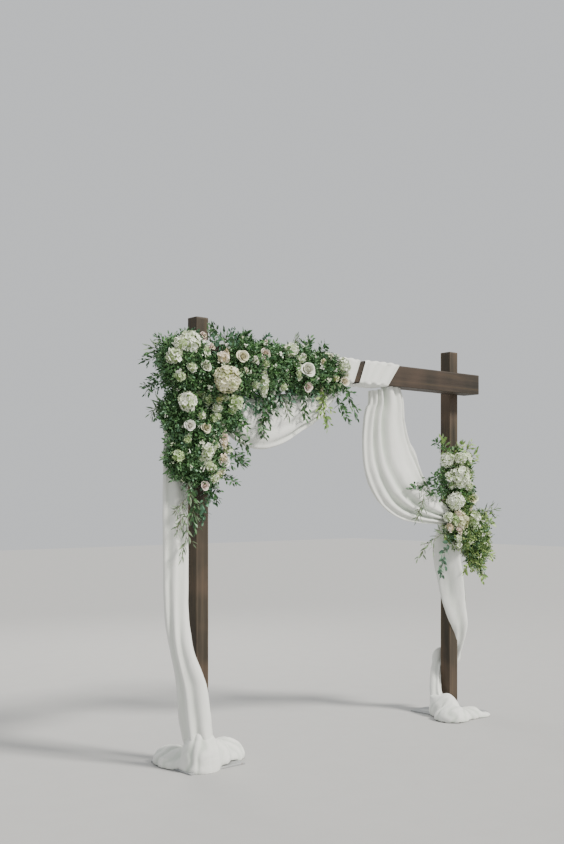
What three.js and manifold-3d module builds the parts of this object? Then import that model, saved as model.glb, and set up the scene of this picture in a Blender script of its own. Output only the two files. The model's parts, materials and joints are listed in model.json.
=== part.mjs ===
// A floral wedding arch: two square timber posts on steel base plates, a heavy cross beam
// bolted to the front of the posts, one long drape of white chiffon, and two arrangements of
// greenery, hydrangeas, roses and stock.
// Millimetres. +X runs along the beam to the right as seen from the front, +Y to the back,
// +Z up. The origin is on the floor, in the middle of the ground that the arch covers.

import * as THREE from "three";
import { mergeVertices } from "three/addons/utils/BufferGeometryUtils.js";
import Module from "manifold-3d";

const wasm = await Module();
wasm.setup();

// Timber and steel
const SPAN = 2272; // between the posts' centre lines
const POST = 89; // side of a square post
const POST_TOP = 2622;
const BEAM = 140; // side of the square beam
const BEAM_TOP = 2450;
const BEAM_OVERHANG = 70; // past each post's outer face
const PLATE = 400; // side of a base plate
const PLATE_THICK = 10;

// Gaps between pieces that touch, and the pockets that pieces are bedded in
const SEAT = 0.3;
const POCKET = 0.45;

// The posts' centre line lies this far behind the origin
const POST_LINE = 53;

// Cloth: wraps' thickness, and the ripple of a gathered length as a share of its width
const WRAP_THICK = 14;
const RIPPLE = 0.07;
const RIPPLE_TURN = 0.35; // how far the ripple turns at each step along, in radians
const CLOTH_SIDES = 12;

// Leaves and blooms
const LEAF_THICK = 7;
const LEAF_WIDTH = 0.38; // of a leaf's length
const LEAF_ANGLE = 0.75; // between a leaf and its stem, in radians
const BLOOM_FACING = [-0.25, -1, 0.2];
const BIG_BLOOM = 65; // radius from which a bloom gets finer faces
const MASS_DETAIL = 2;
const MASS_WAVE = 0.07;
const BLOOM_WAVE = 0.045;
const HEAP_WAVE = 0.05;

const postX = SPAN / 2;
const beamHalf = postX + POST / 2 + BEAM_OVERHANG;
const beamBack = -POST / 2 - SEAT;
const beamFront = beamBack - BEAM;
const beamMid = (beamFront + beamBack) / 2;
const beamBottom = BEAM_TOP - BEAM;

// Materials
const finishes = {
  timber: { color: 0x5b3d30, roughness: 0.75, metalness: 0 },
  steel: { color: 0x7c7f80, roughness: 0.55, metalness: 0.8 },
  chiffon: { color: 0xf1f1ea, roughness: 0.9, metalness: 0 },
  leaves: { color: 0x44603a, roughness: 0.7, metalness: 0 },
  fine_leaves: { color: 0x86a35c, roughness: 0.7, metalness: 0 },
  white_bloom: { color: 0xf4f3e6, roughness: 0.8, metalness: 0 },
  cream_bloom: { color: 0xf3e6cf, roughness: 0.8, metalness: 0 },
  blush_bloom: { color: 0xf1d8cb, roughness: 0.8, metalness: 0 },
  green_bloom: { color: 0xd3dcae, roughness: 0.8, metalness: 0 },
};

const frame = new THREE.Group();
frame.position.y = POST_LINE;
const arch = new THREE.Group();
arch.add(frame);

function addPiece(name, geometry, finish) {
  const piece = new THREE.Mesh(geometry, new THREE.MeshStandardMaterial(finishes[finish]));
  piece.name = name;
  frame.add(piece);
  return piece;
}

// Solids: from a closed mesh, and back to one
function toSolid(geometry) {
  const bare = geometry.clone();
  bare.deleteAttribute("normal");
  bare.deleteAttribute("uv");
  const merged = mergeVertices(bare, 1e-3);
  const mesh = new wasm.Mesh({
    numProp: 3,
    vertProperties: new Float32Array(merged.attributes.position.array),
    triVerts: new Uint32Array(merged.index.array),
  });
  return new wasm.Manifold(mesh);
}

// The biggest body of a solid, so that a cut leaves no crumbs
function largestBody(positions, triangles) {
  const parent = Array.from({ length: positions.length / 3 }, (_, i) => i);
  const find = (i) => {
    let at = i;
    while (parent[at] !== at) {
      parent[at] = parent[parent[at]];
      at = parent[at];
    }
    return at;
  };
  for (let t = 0; t < triangles.length; t += 3) {
    parent[find(triangles[t + 1])] = find(triangles[t]);
    parent[find(triangles[t + 2])] = find(triangles[t]);
  }
  const volumes = new Map();
  const [a, b, c] = [new THREE.Vector3(), new THREE.Vector3(), new THREE.Vector3()];
  for (let t = 0; t < triangles.length; t += 3) {
    a.fromArray(positions, 3 * triangles[t]);
    b.fromArray(positions, 3 * triangles[t + 1]);
    c.fromArray(positions, 3 * triangles[t + 2]);
    const body = find(triangles[t]);
    volumes.set(body, (volumes.get(body) ?? 0) + a.dot(b.cross(c)) / 6);
  }
  const largest = [...volumes].reduce((best, next) => (next[1] > best[1] ? next : best))[0];
  const kept = [];
  for (let t = 0; t < triangles.length; t += 3) {
    if (find(triangles[t]) === largest) kept.push(...triangles.slice(t, t + 3));
  }
  return kept;
}

function toGeometry(solid) {
  const mesh = solid.getMesh();
  const geometry = new THREE.BufferGeometry();
  const positions = new Float32Array(mesh.vertProperties);
  geometry.setAttribute("position", new THREE.BufferAttribute(positions, 3));
  geometry.setIndex(largestBody(positions, Array.from(mesh.triVerts)));
  const tidy = mergeVertices(geometry.toNonIndexed(), 1e-3);
  tidy.computeVertexNormals();
  return tidy;
}

function boxSolid([x0, y0, z0], [x1, y1, z1]) {
  const box = new THREE.BoxGeometry(x1 - x0, y1 - y0, z1 - z0);
  box.translate((x0 + x1) / 2, (y0 + y1) / 2, (z0 + z1) / 2);
  return toSolid(box);
}

// A closed mesh whose faces point out
function closedGeometry(points, triangles) {
  const positions = points.flatMap((p) => [p.x, p.y, p.z]);
  let volume = 0;
  for (const [i, j, k] of triangles) {
    volume += points[i].dot(points[j].clone().cross(points[k])) / 6;
  }
  const faces = volume > 0 ? triangles : triangles.map(([i, j, k]) => [i, k, j]);
  const geometry = new THREE.BufferGeometry();
  geometry.setAttribute("position", new THREE.Float32BufferAttribute(positions, 3));
  geometry.setIndex(faces.flat());
  return geometry;
}

// A gathered length of cloth: oval sections along a smooth path. Each station gives its
// centre, half its width and half its depth, and the way that its broad side faces.
function gatheredCloth({ stations, steps, folds }, grow = 0) {
  const sides = CLOTH_SIDES;
  const path = new THREE.CatmullRomCurve3(
    stations.map((s) => new THREE.Vector3(...s.at)), false, "catmullrom", 0.5,
  );
  const points = [];
  for (let i = 0; i <= steps; i += 1) {
    const place = (i / steps) * (stations.length - 1);
    const first = Math.min(Math.floor(place), stations.length - 2);
    const part = place - first;
    const [from, to] = [stations[first], stations[first + 1]];
    const centre = path.getPoint(i / steps);
    const along = path.getTangent(i / steps);
    const deep = new THREE.Vector3(...from.facing).lerp(new THREE.Vector3(...to.facing), part);
    deep.addScaledVector(along, -deep.dot(along)).normalize();
    const wide = new THREE.Vector3().crossVectors(along, deep);
    const halfWide = THREE.MathUtils.lerp(from.half[0], to.half[0], part) + grow;
    const halfDeep = THREE.MathUtils.lerp(from.half[1], to.half[1], part) + grow;
    const end = i === 0 ? -grow : i === steps ? grow : 0;
    for (let side = 0; side < sides; side += 1) {
      const turn = (side / sides) * 2 * Math.PI;
      const ripple = 1 - RIPPLE * (1 + Math.cos(folds * turn + RIPPLE_TURN * i));
      points.push(
        centre.clone()
          .addScaledVector(wide, halfWide * ripple * Math.cos(turn))
          .addScaledVector(deep, halfDeep * ripple * Math.sin(turn))
          .addScaledVector(along, end),
      );
    }
  }
  const triangles = [];
  for (let i = 0; i < steps; i += 1) {
    for (let side = 0; side < sides; side += 1) {
      const a = i * sides + side;
      const b = i * sides + ((side + 1) % sides);
      triangles.push([a, b, a + sides], [b, b + sides, a + sides]);
    }
  }
  const last = steps * sides;
  for (let side = 1; side < sides - 1; side += 1) {
    triangles.push([0, side + 1, side], [last, last + side, last + side + 1]);
  }
  return closedGeometry(points, triangles);
}

// A soft ball, pushed in and out by slow waves
function softBall(centre, radii, detail, depth, seed, grow = 0) {
  const ball = mergeVertices(stripped(new THREE.IcosahedronGeometry(1, detail)), 1e-4);
  const place = ball.attributes.position;
  const v = new THREE.Vector3();
  for (let i = 0; i < place.count; i += 1) {
    v.fromBufferAttribute(place, i);
    const wave =
      Math.sin(4.1 * v.x + seed) * Math.sin(3.7 * v.y + 1.7 * seed) +
      0.6 * Math.sin(5.3 * v.z + 2.3 * seed) * Math.cos(4.9 * v.x - seed);
    const reach = 1 + depth * wave;
    place.setXYZ(
      i,
      centre[0] + v.x * (radii[0] * reach + grow),
      centre[1] + v.y * (radii[1] * reach + grow),
      centre[2] + v.z * (radii[2] * reach + grow),
    );
  }
  return ball;
}

function stripped(geometry) {
  geometry.deleteAttribute("normal");
  geometry.deleteAttribute("uv");
  return geometry;
}

// A rose head: a turned cup with a raised bud, its axis pointing along facing. The
// profile's radii and heights are shares of the head's radius.
const ROSE_PROFILE = [[0, -0.75], [0.62, -0.6], [1, 0.05], [0.86, 0.45], [0.4, 0.6], [0, 0.62]];
const ROSE_SIDES = 8;
function roseHead(centre, radius, facing, grow = 0) {
  const size = radius + grow;
  const profile = ROSE_PROFILE.map(([r, h]) => new THREE.Vector2(r * size, h * size));
  const head = new THREE.LatheGeometry(profile, ROSE_SIDES);
  const turn = new THREE.Quaternion().setFromUnitVectors(
    new THREE.Vector3(0, 1, 0), new THREE.Vector3(...facing).normalize(),
  );
  head.applyQuaternion(turn);
  head.translate(...centre);
  return stripped(head);
}

// A leafy sprig as one flat solid: a stem with leaves on alternate sides and one at its
// tip, where the stem stops half a leaf short
function sprigSolid({ from, to, leaf, count, facing = [0, -1, 0] }) {
  const start = new THREE.Vector3(...from);
  const along = new THREE.Vector3(...to).sub(start);
  const length = along.length();
  along.normalize();
  const out = new THREE.Vector3(...facing);
  out.addScaledVector(along, -out.dot(along)).normalize();
  const side = new THREE.Vector3().crossVectors(out, along);
  const toPlace = new THREE.Matrix4().makeBasis(along, side, out).setPosition(start);
  const stemLength = length - leaf / 2;
  const stem = new THREE.BoxGeometry(stemLength, LEAF_THICK, LEAF_THICK);
  stem.translate(stemLength / 2, 0, 0);
  let sprig = toSolid(stem.applyMatrix4(toPlace));
  const depth = LEAF_THICK - 1;
  const firstFoot = 1.2; // in steps between leaves, from the stem's foot
  for (let i = 0; i < count; i += 1) {
    const isTip = i === count - 1;
    const foot = (length - leaf) * (isTip ? 1 : (i + firstFoot) / (count - 1 + firstFoot));
    const angle = isTip ? 0 : (i % 2 ? -1 : 1) * LEAF_ANGLE;
    const outline = leafOutline(leaf, leaf * LEAF_WIDTH);
    const blade = new THREE.ExtrudeGeometry(outline, { depth, bevelEnabled: false });
    blade.translate(0, 0, -depth / 2);
    blade.rotateZ(angle);
    blade.translate(foot, 0, 0);
    sprig = sprig.add(toSolid(blade.applyMatrix4(toPlace)));
  }
  return sprig;
}

function leafOutline(length, width) {
  const foot = -0.05 * length;
  const widest = 0.4 * length;
  const outline = new THREE.Shape();
  outline.moveTo(foot, 0);
  outline.lineTo(widest, -width / 2);
  outline.lineTo(length, 0);
  outline.lineTo(widest, width / 2);
  outline.closePath();
  return outline;
}

// Posts, beam and base plates
function postBox(x, grow = 0) {
  return boxSolid(
    [x - POST / 2 - grow, -POST / 2 - grow, PLATE_THICK + SEAT - grow],
    [x + POST / 2 + grow, POST / 2 + grow, POST_TOP + grow],
  );
}

function beamBox(grow = 0) {
  return boxSolid(
    [-beamHalf - grow, beamFront - grow, beamBottom - grow],
    [beamHalf + grow, beamBack + grow, BEAM_TOP + grow],
  );
}

function plateBox(x, grow = 0) {
  return boxSolid(
    [x - PLATE / 2 - grow, -PLATE / 2 - grow, -grow],
    [x + PLATE / 2 + grow, PLATE / 2 + grow, PLATE_THICK + grow],
  );
}

addPiece("left_post", toGeometry(postBox(-postX)), "timber");
addPiece("right_post", toGeometry(postBox(postX)), "timber");
addPiece("cross_beam", toGeometry(beamBox()), "timber");
addPiece("left_base_plate", toGeometry(plateBox(-postX)), "steel");
addPiece("right_base_plate", toGeometry(plateBox(postX)), "steel");
const timber = (grow) => [postBox(-postX, grow), postBox(postX, grow), beamBox(grow)];

// Bands of cloth round the beam. Each runs from one x to another at the beam's top, and
// from one to another at its underside, so it may slant.
function beamWrap({ top, low }, grow = 0) {
  const out = WRAP_THICK + grow;
  const [near, far] = [beamFront - out, beamBack + out];
  const points = [];
  for (const [[from, to], z] of [[top, BEAM_TOP + out], [low, beamBottom - out]]) {
    const [left, right] = [from - grow, to + grow];
    for (const [x, y] of [[left, near], [right, near], [right, far], [left, far]]) {
      points.push(new THREE.Vector3(x, y, z));
    }
  }
  const ends = [[0, 1, 2, 3], [4, 7, 6, 5]];
  const sides = [[0, 4, 5, 1], [1, 5, 6, 2], [2, 6, 7, 3], [3, 7, 4, 0]];
  const quads = [...ends, ...sides];
  const triangles = quads.flatMap(([a, b, c, d]) => [[a, b, c], [a, c, d]]);
  return toSolid(closedGeometry(points, triangles));
}

const wraps = {
  corner_wrap: { top: [-1246, -1188], low: [-1246, -1188] },
  swag_hitch: { top: [-1082, -1010], low: [-1082, -1010] },
  centre_wrap: { top: [-215, 30], low: [-170, -28] },
  sweep_wrap: { top: [76, 402], low: [20, 292] },
};
for (const [name, reach] of Object.entries(wraps)) {
  addPiece(name, toGeometry(beamWrap(reach).subtract(beamBox(POCKET))), "chiffon");
}

// Lengths of cloth that hang free
const front = [0, -1, 0];
const nearLeft = [-0.66, -0.75, 0];
const nearCorner = [-0.77, -0.64, 0];
const clothTop = beamBottom - WRAP_THICK - POCKET - 3; // where a length leaves its wrap
const drapes = {
  left_fall: {
    steps: 15,
    folds: 4,
    stations: [
      { at: [-1217, -5, 2375], half: [26, 16], facing: front },
      { at: [-1238, 6, 2200], half: [52, 30], facing: front },
      { at: [-1282, 10, 1960], half: [82, 42], facing: front },
      { at: [-1290, 8, 1600], half: [88, 46], facing: front },
      { at: [-1295, 0, 1250], half: [90, 46], facing: front },
      { at: [-1296, -12, 920], half: [80, 44], facing: [-0.25, -0.95, 0] },
      { at: [-1290, -56, 690], half: [72, 40], facing: nearLeft },
      { at: [-1256, -104, 480], half: [92, 42], facing: nearLeft },
      { at: [-1240, -118, 290], half: [98, 46], facing: nearLeft },
      { at: [-1230, -116, 190], half: [104, 52], facing: nearLeft },
    ],
  },
  swag: {
    steps: 14,
    folds: 3,
    stations: [
      { at: [-1046, beamMid, clothTop], half: [32, 60], facing: front },
      { at: [-1012, beamMid, 2170], half: [80, 58], facing: front },
      { at: [-930, beamMid, 2035], half: [118, 56], facing: front },
      { at: [-790, beamMid, 1985], half: [136, 55], facing: front },
      { at: [-640, beamMid, 2000], half: [136, 55], facing: front },
      { at: [-480, beamMid, 2060], half: [122, 55], facing: front },
      { at: [-330, beamMid, 2140], half: [98, 56], facing: front },
      { at: [-215, beamMid, 2225], half: [72, 58], facing: front },
      { at: [-118, beamMid, clothTop], half: [55, 60], facing: front },
    ],
  },
  sweep: {
    steps: 16,
    folds: 4,
    stations: [
      { at: [318, beamMid + 10, clothTop], half: [120, 56], facing: front },
      { at: [362, beamMid + 18, 2195], half: [172, 54], facing: front },
      { at: [358, beamMid + 26, 2070], half: [202, 52], facing: front },
      { at: [380, beamMid + 32, 1920], half: [232, 50], facing: front },
      { at: [424, beamMid + 34, 1800], half: [252, 50], facing: front },
      { at: [490, beamMid + 34, 1705], half: [252, 50], facing: front },
      { at: [562, beamMid + 32, 1630], half: [226, 48], facing: front },
      { at: [650, beamMid + 28, 1565], half: [186, 46], facing: front },
      { at: [765, beamMid + 22, 1505], half: [132, 42], facing: front },
      { at: [895, beamMid + 16, 1458], half: [88, 36], facing: front },
      { at: [1010, beamMid + 12, 1430], half: [66, 30], facing: front },
    ],
  },
  post_wrap: {
    steps: 20,
    folds: 3,
    stations: [
      { at: [1072, -48, 1378], half: [70, 18], facing: [-0.7, -0.71, 0] },
      { at: [1065, -37, 1225], half: [100, 20], facing: nearCorner },
      { at: [1067, -39, 1110], half: [101, 20], facing: nearCorner },
      { at: [1080, -56, 995], half: [100, 20], facing: nearCorner },
      { at: [1092, -70, 885], half: [96, 20], facing: [-0.7, -0.71, 0] },
      { at: [1110, -79, 775], half: [92, 22], facing: [-0.5, -0.87, 0] },
      { at: [1156, -66, 665], half: [88, 24], facing: [-0.1, -0.99, 0] },
      { at: [1200, -28, 545], half: [90, 24], facing: [1, -0.25, 0] },
      { at: [1196, 36, 430], half: [80, 22], facing: [0.9, 0.45, 0] },
      { at: [1130, 64, 360], half: [78, 22], facing: [0, 1, 0] },
      { at: [1056, 62, 305], half: [70, 22], facing: [-0.75, 0.66, 0] },
      { at: [1000, 24, 220], half: [62, 24], facing: [-1, 0, 0] },
      { at: [988, -26, 110], half: [72, 34], facing: [-0.9, -0.4, 0] },
    ],
  },
};
const without = (solid, others) => others.reduce((left, other) => left.subtract(other), solid);
const hanging = (grow) => Object.values(drapes).map((drape) => toSolid(gatheredCloth(drape, grow)));
const wrapPockets = Object.values(wraps).map((reach) => beamWrap(reach, POCKET));
const clothBefore = [];
for (const [name, drape] of Object.entries(drapes)) {
  const whole = toSolid(gatheredCloth(drape));
  const cut = without(whole, [...timber(POCKET), ...wrapPockets, ...clothBefore]);
  addPiece(name, toGeometry(cut), "chiffon");
  clothBefore.push(toSolid(gatheredCloth(drape, POCKET)));
}

// Cloth heaped on the floor round each post's foot, with a flat underside. Each lump has
// its x, y, top, two radii and seed.
function heap(lumps) {
  const pile = lumps
    .map(([x, y, top, rx, ry, seed]) =>
      toSolid(softBall([x, y, 0], [rx, ry, top], MASS_DETAIL, HEAP_WAVE, seed)))
    .reduce((sum, lump) => sum.add(lump));
  const ground = boxSolid([-2 * SPAN, -SPAN, -BEAM_TOP], [2 * SPAN, SPAN, 0]);
  const plates = [plateBox(-postX, POCKET), plateBox(postX, POCKET)];
  return without(pile, [ground, ...plates, ...timber(POCKET), ...hanging(POCKET)]);
}
const leftHeap = heap([
  [-1205, -95, 205, 112, 108, 1.3],
  [-1085, -80, 150, 125, 108, 2.1],
  [-950, -10, 125, 125, 125, 0.4],
  [-1262, 60, 112, 110, 160, 3.2],
  [-1000, 150, 66, 100, 112, 4.4],
  [-1215, -150, 80, 120, 90, 5.2],
]);
const rightHeap = heap([
  [1010, -70, 165, 110, 120, 2.6],
  [930, -200, 96, 125, 125, 0.9],
  [1085, -215, 76, 130, 90, 3.7],
  [1180, -270, 30, 90, 42, 1.8],
]);
addPiece("left_heap", toGeometry(leftHeap), "chiffon");
addPiece("right_heap", toGeometry(rightHeap), "chiffon");

// Blooms: kind, centre, radius and finish
const blooms = {
  hydrangea_top: ["ball", [-1352, -215, 2436], 70, "white_bloom"],
  hydrangea_top_left: ["ball", [-1462, -228, 2348], 48, "white_bloom"],
  hydrangea_left: ["ball", [-1369, -216, 2102], 60, "white_bloom"],
  hydrangea_centre: ["ball", [-1150, -300, 2232], 84, "cream_bloom"],
  hydrangea_pale: ["ball", [-1060, -262, 2112], 48, "green_bloom"],
  hydrangea_mid: ["ball", [-612, -238, 2455], 50, "white_bloom"],
  hydrangea_right: ["ball", [-192, -258, 2394], 52, "white_bloom"],
  hydrangea_green: ["ball", [-1388, -150, 1797], 42, "green_bloom"],
  hydrangea_low: ["ball", [-1212, -198, 1827], 46, "white_bloom"],
  rose_upper_left: ["rose", [-1264, -252, 2304], 40, "white_bloom"],
  rose_upper: ["rose", [-1020, -282, 2376], 46, "cream_bloom"],
  rose_blush: ["rose", [-815, -240, 2416], 40, "blush_bloom"],
  rose_mid: ["rose", [-514, -284, 2344], 56, "white_bloom"],
  rose_mid_low: ["rose", [-469, -230, 2243], 40, "blush_bloom"],
  rose_right: ["rose", [-162, -240, 2298], 40, "cream_bloom"],
  rose_post_left: ["rose", [-1343, -210, 1968], 40, "white_bloom"],
  rose_post_right: ["rose", [-1091, -193, 1910], 40, "blush_bloom"],
  rose_post_low: ["rose", [-1080, -182, 1774], 40, "white_bloom"],
  rose_post_tip: ["rose", [-1196, -150, 1632], 34, "blush_bloom"],
  stock_mid: ["spike", [-827, -236, 2244], 34, "white_bloom"],
  right_hydrangea_top: ["ball", [945, -150, 1832], 58, "white_bloom"],
  right_hydrangea_peak: ["ball", [1140, -150, 1842], 56, "white_bloom"],
  right_hydrangea_big: ["ball", [1030, -190, 1711], 86, "white_bloom"],
  right_hydrangea_mid: ["ball", [1000, -176, 1538], 74, "white_bloom"],
  right_hydrangea_low: ["ball", [1056, -178, 1396], 70, "cream_bloom"],
  right_rose_side: ["rose", [1236, -156, 1562], 42, "white_bloom"],
  right_rose_low: ["rose", [1056, -150, 1240], 50, "white_bloom"],
};
const BALL_SHAPE = [1, 0.86, 1]; // shares of a bloom's radius
const SPIKE_SHAPE = [1, 1, 2.6];
function bloomGeometry([kind, centre, radius], index, grow = 0) {
  if (kind === "rose") return roseHead(centre, radius, BLOOM_FACING, grow);
  const radii = (kind === "spike" ? SPIKE_SHAPE : BALL_SHAPE).map((share) => share * radius);
  return softBall(centre, radii, radius > BIG_BLOOM ? 2 : 1, BLOOM_WAVE, index, grow);
}
Object.entries(blooms).forEach(([name, bloom], index) => {
  addPiece(name, bloomGeometry(bloom, index), bloom[3]);
});
const bloomPockets = Object.values(blooms).map((bloom, index) =>
  toSolid(bloomGeometry(bloom, index, POCKET)));

// Greenery: soft masses with their sprigs, bedded round the timber, the cloth and the
// blooms. Each mass has its centre, radii and seed.
const greenery = {
  corner_greenery: {
    masses: [[[-1330, -150, 2330], [172, 98, 162], 1.1], [[-1140, -165, 2240], [150, 98, 140], 2.2]],
    sprigs: [
      { from: [-1400, -120, 2330], to: [-1508, -30, 2420], leaf: 60, count: 5 },
      { from: [-1400, -100, 2230], to: [-1515, 10, 2190], leaf: 62, count: 5 },
      { from: [-1190, -150, 2400], to: [-1150, -150, 2572], leaf: 56, count: 5 },
    ],
  },
  beam_greenery_left: {
    masses: [[[-940, -165, 2335], [170, 98, 160], 3.1], [[-745, -165, 2345], [150, 96, 148], 0.7]],
    sprigs: [
      { from: [-930, -170, 2440], to: [-905, -170, 2545], leaf: 56, count: 4 },
      { from: [-785, -200, 2270], to: [-800, -205, 1912], leaf: 64, count: 6 },
    ],
  },
  beam_greenery_right: {
    masses: [
      [[-500, -160, 2355], [160, 94, 142], 4.2],
      [[-270, -158, 2352], [160, 88, 124], 5.1],
      [[-618, -172, 2398], [92, 78, 84], 0.9],
    ],
    sprigs: [
      { from: [-430, -170, 2450], to: [-395, -170, 2558], leaf: 56, count: 4 },
      { from: [-450, -195, 2290], to: [-470, -205, 2052], leaf: 62, count: 4 },
      { from: [-165, -165, 2330], to: [-12, -200, 2076], leaf: 64, count: 5 },
    ],
  },
  inner_greenery: {
    masses: [[[-1060, -150, 2060], [105, 82, 95], 2.9]],
    sprigs: [{ from: [-1040, -190, 2040], to: [-930, -200, 1985], leaf: 56, count: 4 }],
  },
  post_greenery_upper: {
    masses: [[[-1320, -118, 2040], [140, 88, 140], 6.3], [[-1190, -128, 1950], [125, 80, 120], 1.9]],
    sprigs: [{ from: [-1400, -110, 2090], to: [-1502, -40, 2035], leaf: 58, count: 4 }],
  },
  post_greenery_lower: {
    masses: [[[-1290, -100, 1800], [135, 72, 130], 3.6], [[-1150, -108, 1770], [105, 66, 125], 0.2]],
    sprigs: [
      { from: [-1230, -118, 1720], to: [-1238, -112, 1370], leaf: 64, count: 7 },
      { from: [-1300, -118, 1720], to: [-1328, -106, 1215], leaf: 64, count: 8 },
      { from: [-1110, -150, 1830], to: [-905, -176, 1758], leaf: 58, count: 5 },
      { from: [-1160, -130, 1700], to: [-1150, -128, 1545], leaf: 54, count: 4 },
    ],
  },
  right_greenery_upper: {
    masses: [[[1065, -125, 1730], [125, 82, 165], 5.5], [[1110, -118, 1560], [130, 76, 120], 2.4]],
    sprigs: [
      { from: [1010, -120, 1840], to: [905, -120, 1985], leaf: 62, count: 5 },
      { from: [1050, -125, 1860], to: [1120, -130, 1960], leaf: 56, count: 4 },
      { from: [1000, -130, 1640], to: [545, -150, 1625], leaf: 66, count: 9 },
    ],
  },
  right_greenery_lower: {
    masses: [[[1110, -128, 1345], [145, 78, 150], 4.9], [[1290, -130, 1250], [120, 70, 190], 1.5]],
    sprigs: [
      { from: [1230, -135, 1420], to: [1515, -150, 1482], leaf: 64, count: 7 },
      { from: [1300, -130, 1130], to: [1368, -125, 950], leaf: 60, count: 5 },
      { from: [1010, -140, 1320], to: [625, -150, 1145], leaf: 66, count: 8 },
    ],
  },
};
const massSolids = ({ masses }, grow = 0) =>
  masses.map(([centre, radii, seed]) =>
    toSolid(softBall(centre, radii, MASS_DETAIL, MASS_WAVE, seed, grow)));
const pockets = [...timber(POCKET), ...wrapPockets, ...hanging(POCKET), ...bloomPockets];
const placed = [];
for (const [name, plan] of Object.entries(greenery)) {
  const sprigs = plan.sprigs.map(sprigSolid);
  const whole = [...massSolids(plan), ...sprigs].reduce((sum, solid) => sum.add(solid));
  // Each mass meets the one before it at the edge of a slightly larger copy of that one
  const cut = without(whole, [...pockets, ...placed]);
  addPiece(name, toGeometry(cut), name.startsWith("right") ? "fine_leaves" : "leaves");
  placed.push(...massSolids(plan, POCKET), ...sprigs);
}

export default arch;
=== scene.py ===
"""A floral wedding arch: timber posts and beam on steel plates, draped with chiffon and dressed
with greenery, hydrangeas, roses and stock. Metres, +X along the beam, +Y to the back, +Z up."""

import json
import math
from contextlib import contextmanager

import bmesh
import bpy
import numpy as np
from mathutils import Matrix, Vector, noise
from mathutils.bvhtree import BVHTree

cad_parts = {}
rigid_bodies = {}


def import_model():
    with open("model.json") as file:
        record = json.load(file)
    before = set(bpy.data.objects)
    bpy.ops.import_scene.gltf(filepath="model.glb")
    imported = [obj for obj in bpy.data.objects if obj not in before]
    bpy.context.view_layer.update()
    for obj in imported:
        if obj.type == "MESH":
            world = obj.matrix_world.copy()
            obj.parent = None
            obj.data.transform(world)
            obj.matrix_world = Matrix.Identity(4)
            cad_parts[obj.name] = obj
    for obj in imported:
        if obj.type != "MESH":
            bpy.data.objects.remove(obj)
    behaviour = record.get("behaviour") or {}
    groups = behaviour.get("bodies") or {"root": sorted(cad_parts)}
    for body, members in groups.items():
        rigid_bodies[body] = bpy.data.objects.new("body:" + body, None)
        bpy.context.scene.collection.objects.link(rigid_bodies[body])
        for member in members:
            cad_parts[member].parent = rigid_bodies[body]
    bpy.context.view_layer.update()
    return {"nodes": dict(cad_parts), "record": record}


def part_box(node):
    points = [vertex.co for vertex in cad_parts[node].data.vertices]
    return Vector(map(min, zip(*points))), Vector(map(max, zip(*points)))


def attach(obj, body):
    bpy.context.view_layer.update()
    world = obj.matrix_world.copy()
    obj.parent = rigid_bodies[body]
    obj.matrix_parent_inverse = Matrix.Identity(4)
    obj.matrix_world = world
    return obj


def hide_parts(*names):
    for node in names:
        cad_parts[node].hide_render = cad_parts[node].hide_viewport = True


bl_info = {
    "name": "Floral arch",
    "version": (1, 0, 0),
    "blender": (4, 5, 0),
    "location": "3D View > Sidebar > Floral arch",
    "description": "Builds the timber, cloth, greenery and blooms of a floral wedding arch",
    "category": "Add Mesh",
}

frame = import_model()

# Places taken from the frame
POST_LOW, POST_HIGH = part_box("left_post")
BEAM_LOW, BEAM_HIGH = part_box("cross_beam")
RIGHT_LOW, RIGHT_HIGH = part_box("right_post")
POST_LINE = (POST_LOW.y + POST_HIGH.y) / 2
BEAM_MID = (BEAM_LOW.y + BEAM_HIGH.y) / 2 - POST_LINE
POST_MIDDLES = [(POST_LOW.x + POST_HIGH.x) / 2, (RIGHT_LOW.x + RIGHT_HIGH.x) / 2]
SLOT_OF = {part["node"]: part["material_slot"] for part in frame["record"]["subparts"]}
TIMBER = ["left_post", "right_post", "cross_beam"]
PLATES = ["left_base_plate", "right_base_plate"]
BLOOMS = [node for node, slot in SLOT_OF.items() if slot.endswith("bloom")]
HYDRANGEAS = [node for node in BLOOMS if "hydrangea" in node]
ROSES = [node for node in BLOOMS if "rose" in node]
SPIKES = [node for node in BLOOMS if node.startswith("stock")]

GOLDEN_TURN = math.radians(137.5)

# Chiffon: one length, cut to this size
CLOTH_FLAT = (0.70, 8.4)
# Ways that the cloth's broad side faces
FRONT = (0, -1, 0)
NEAR_LEFT = (-0.66, -0.75, 0)
NEAR_CORNER = (-0.77, -0.64, 0)
NEAR_RIGHT = (-0.45, -0.89, 0)
ALL_OVER = -0.3  # gathered all over

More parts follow.
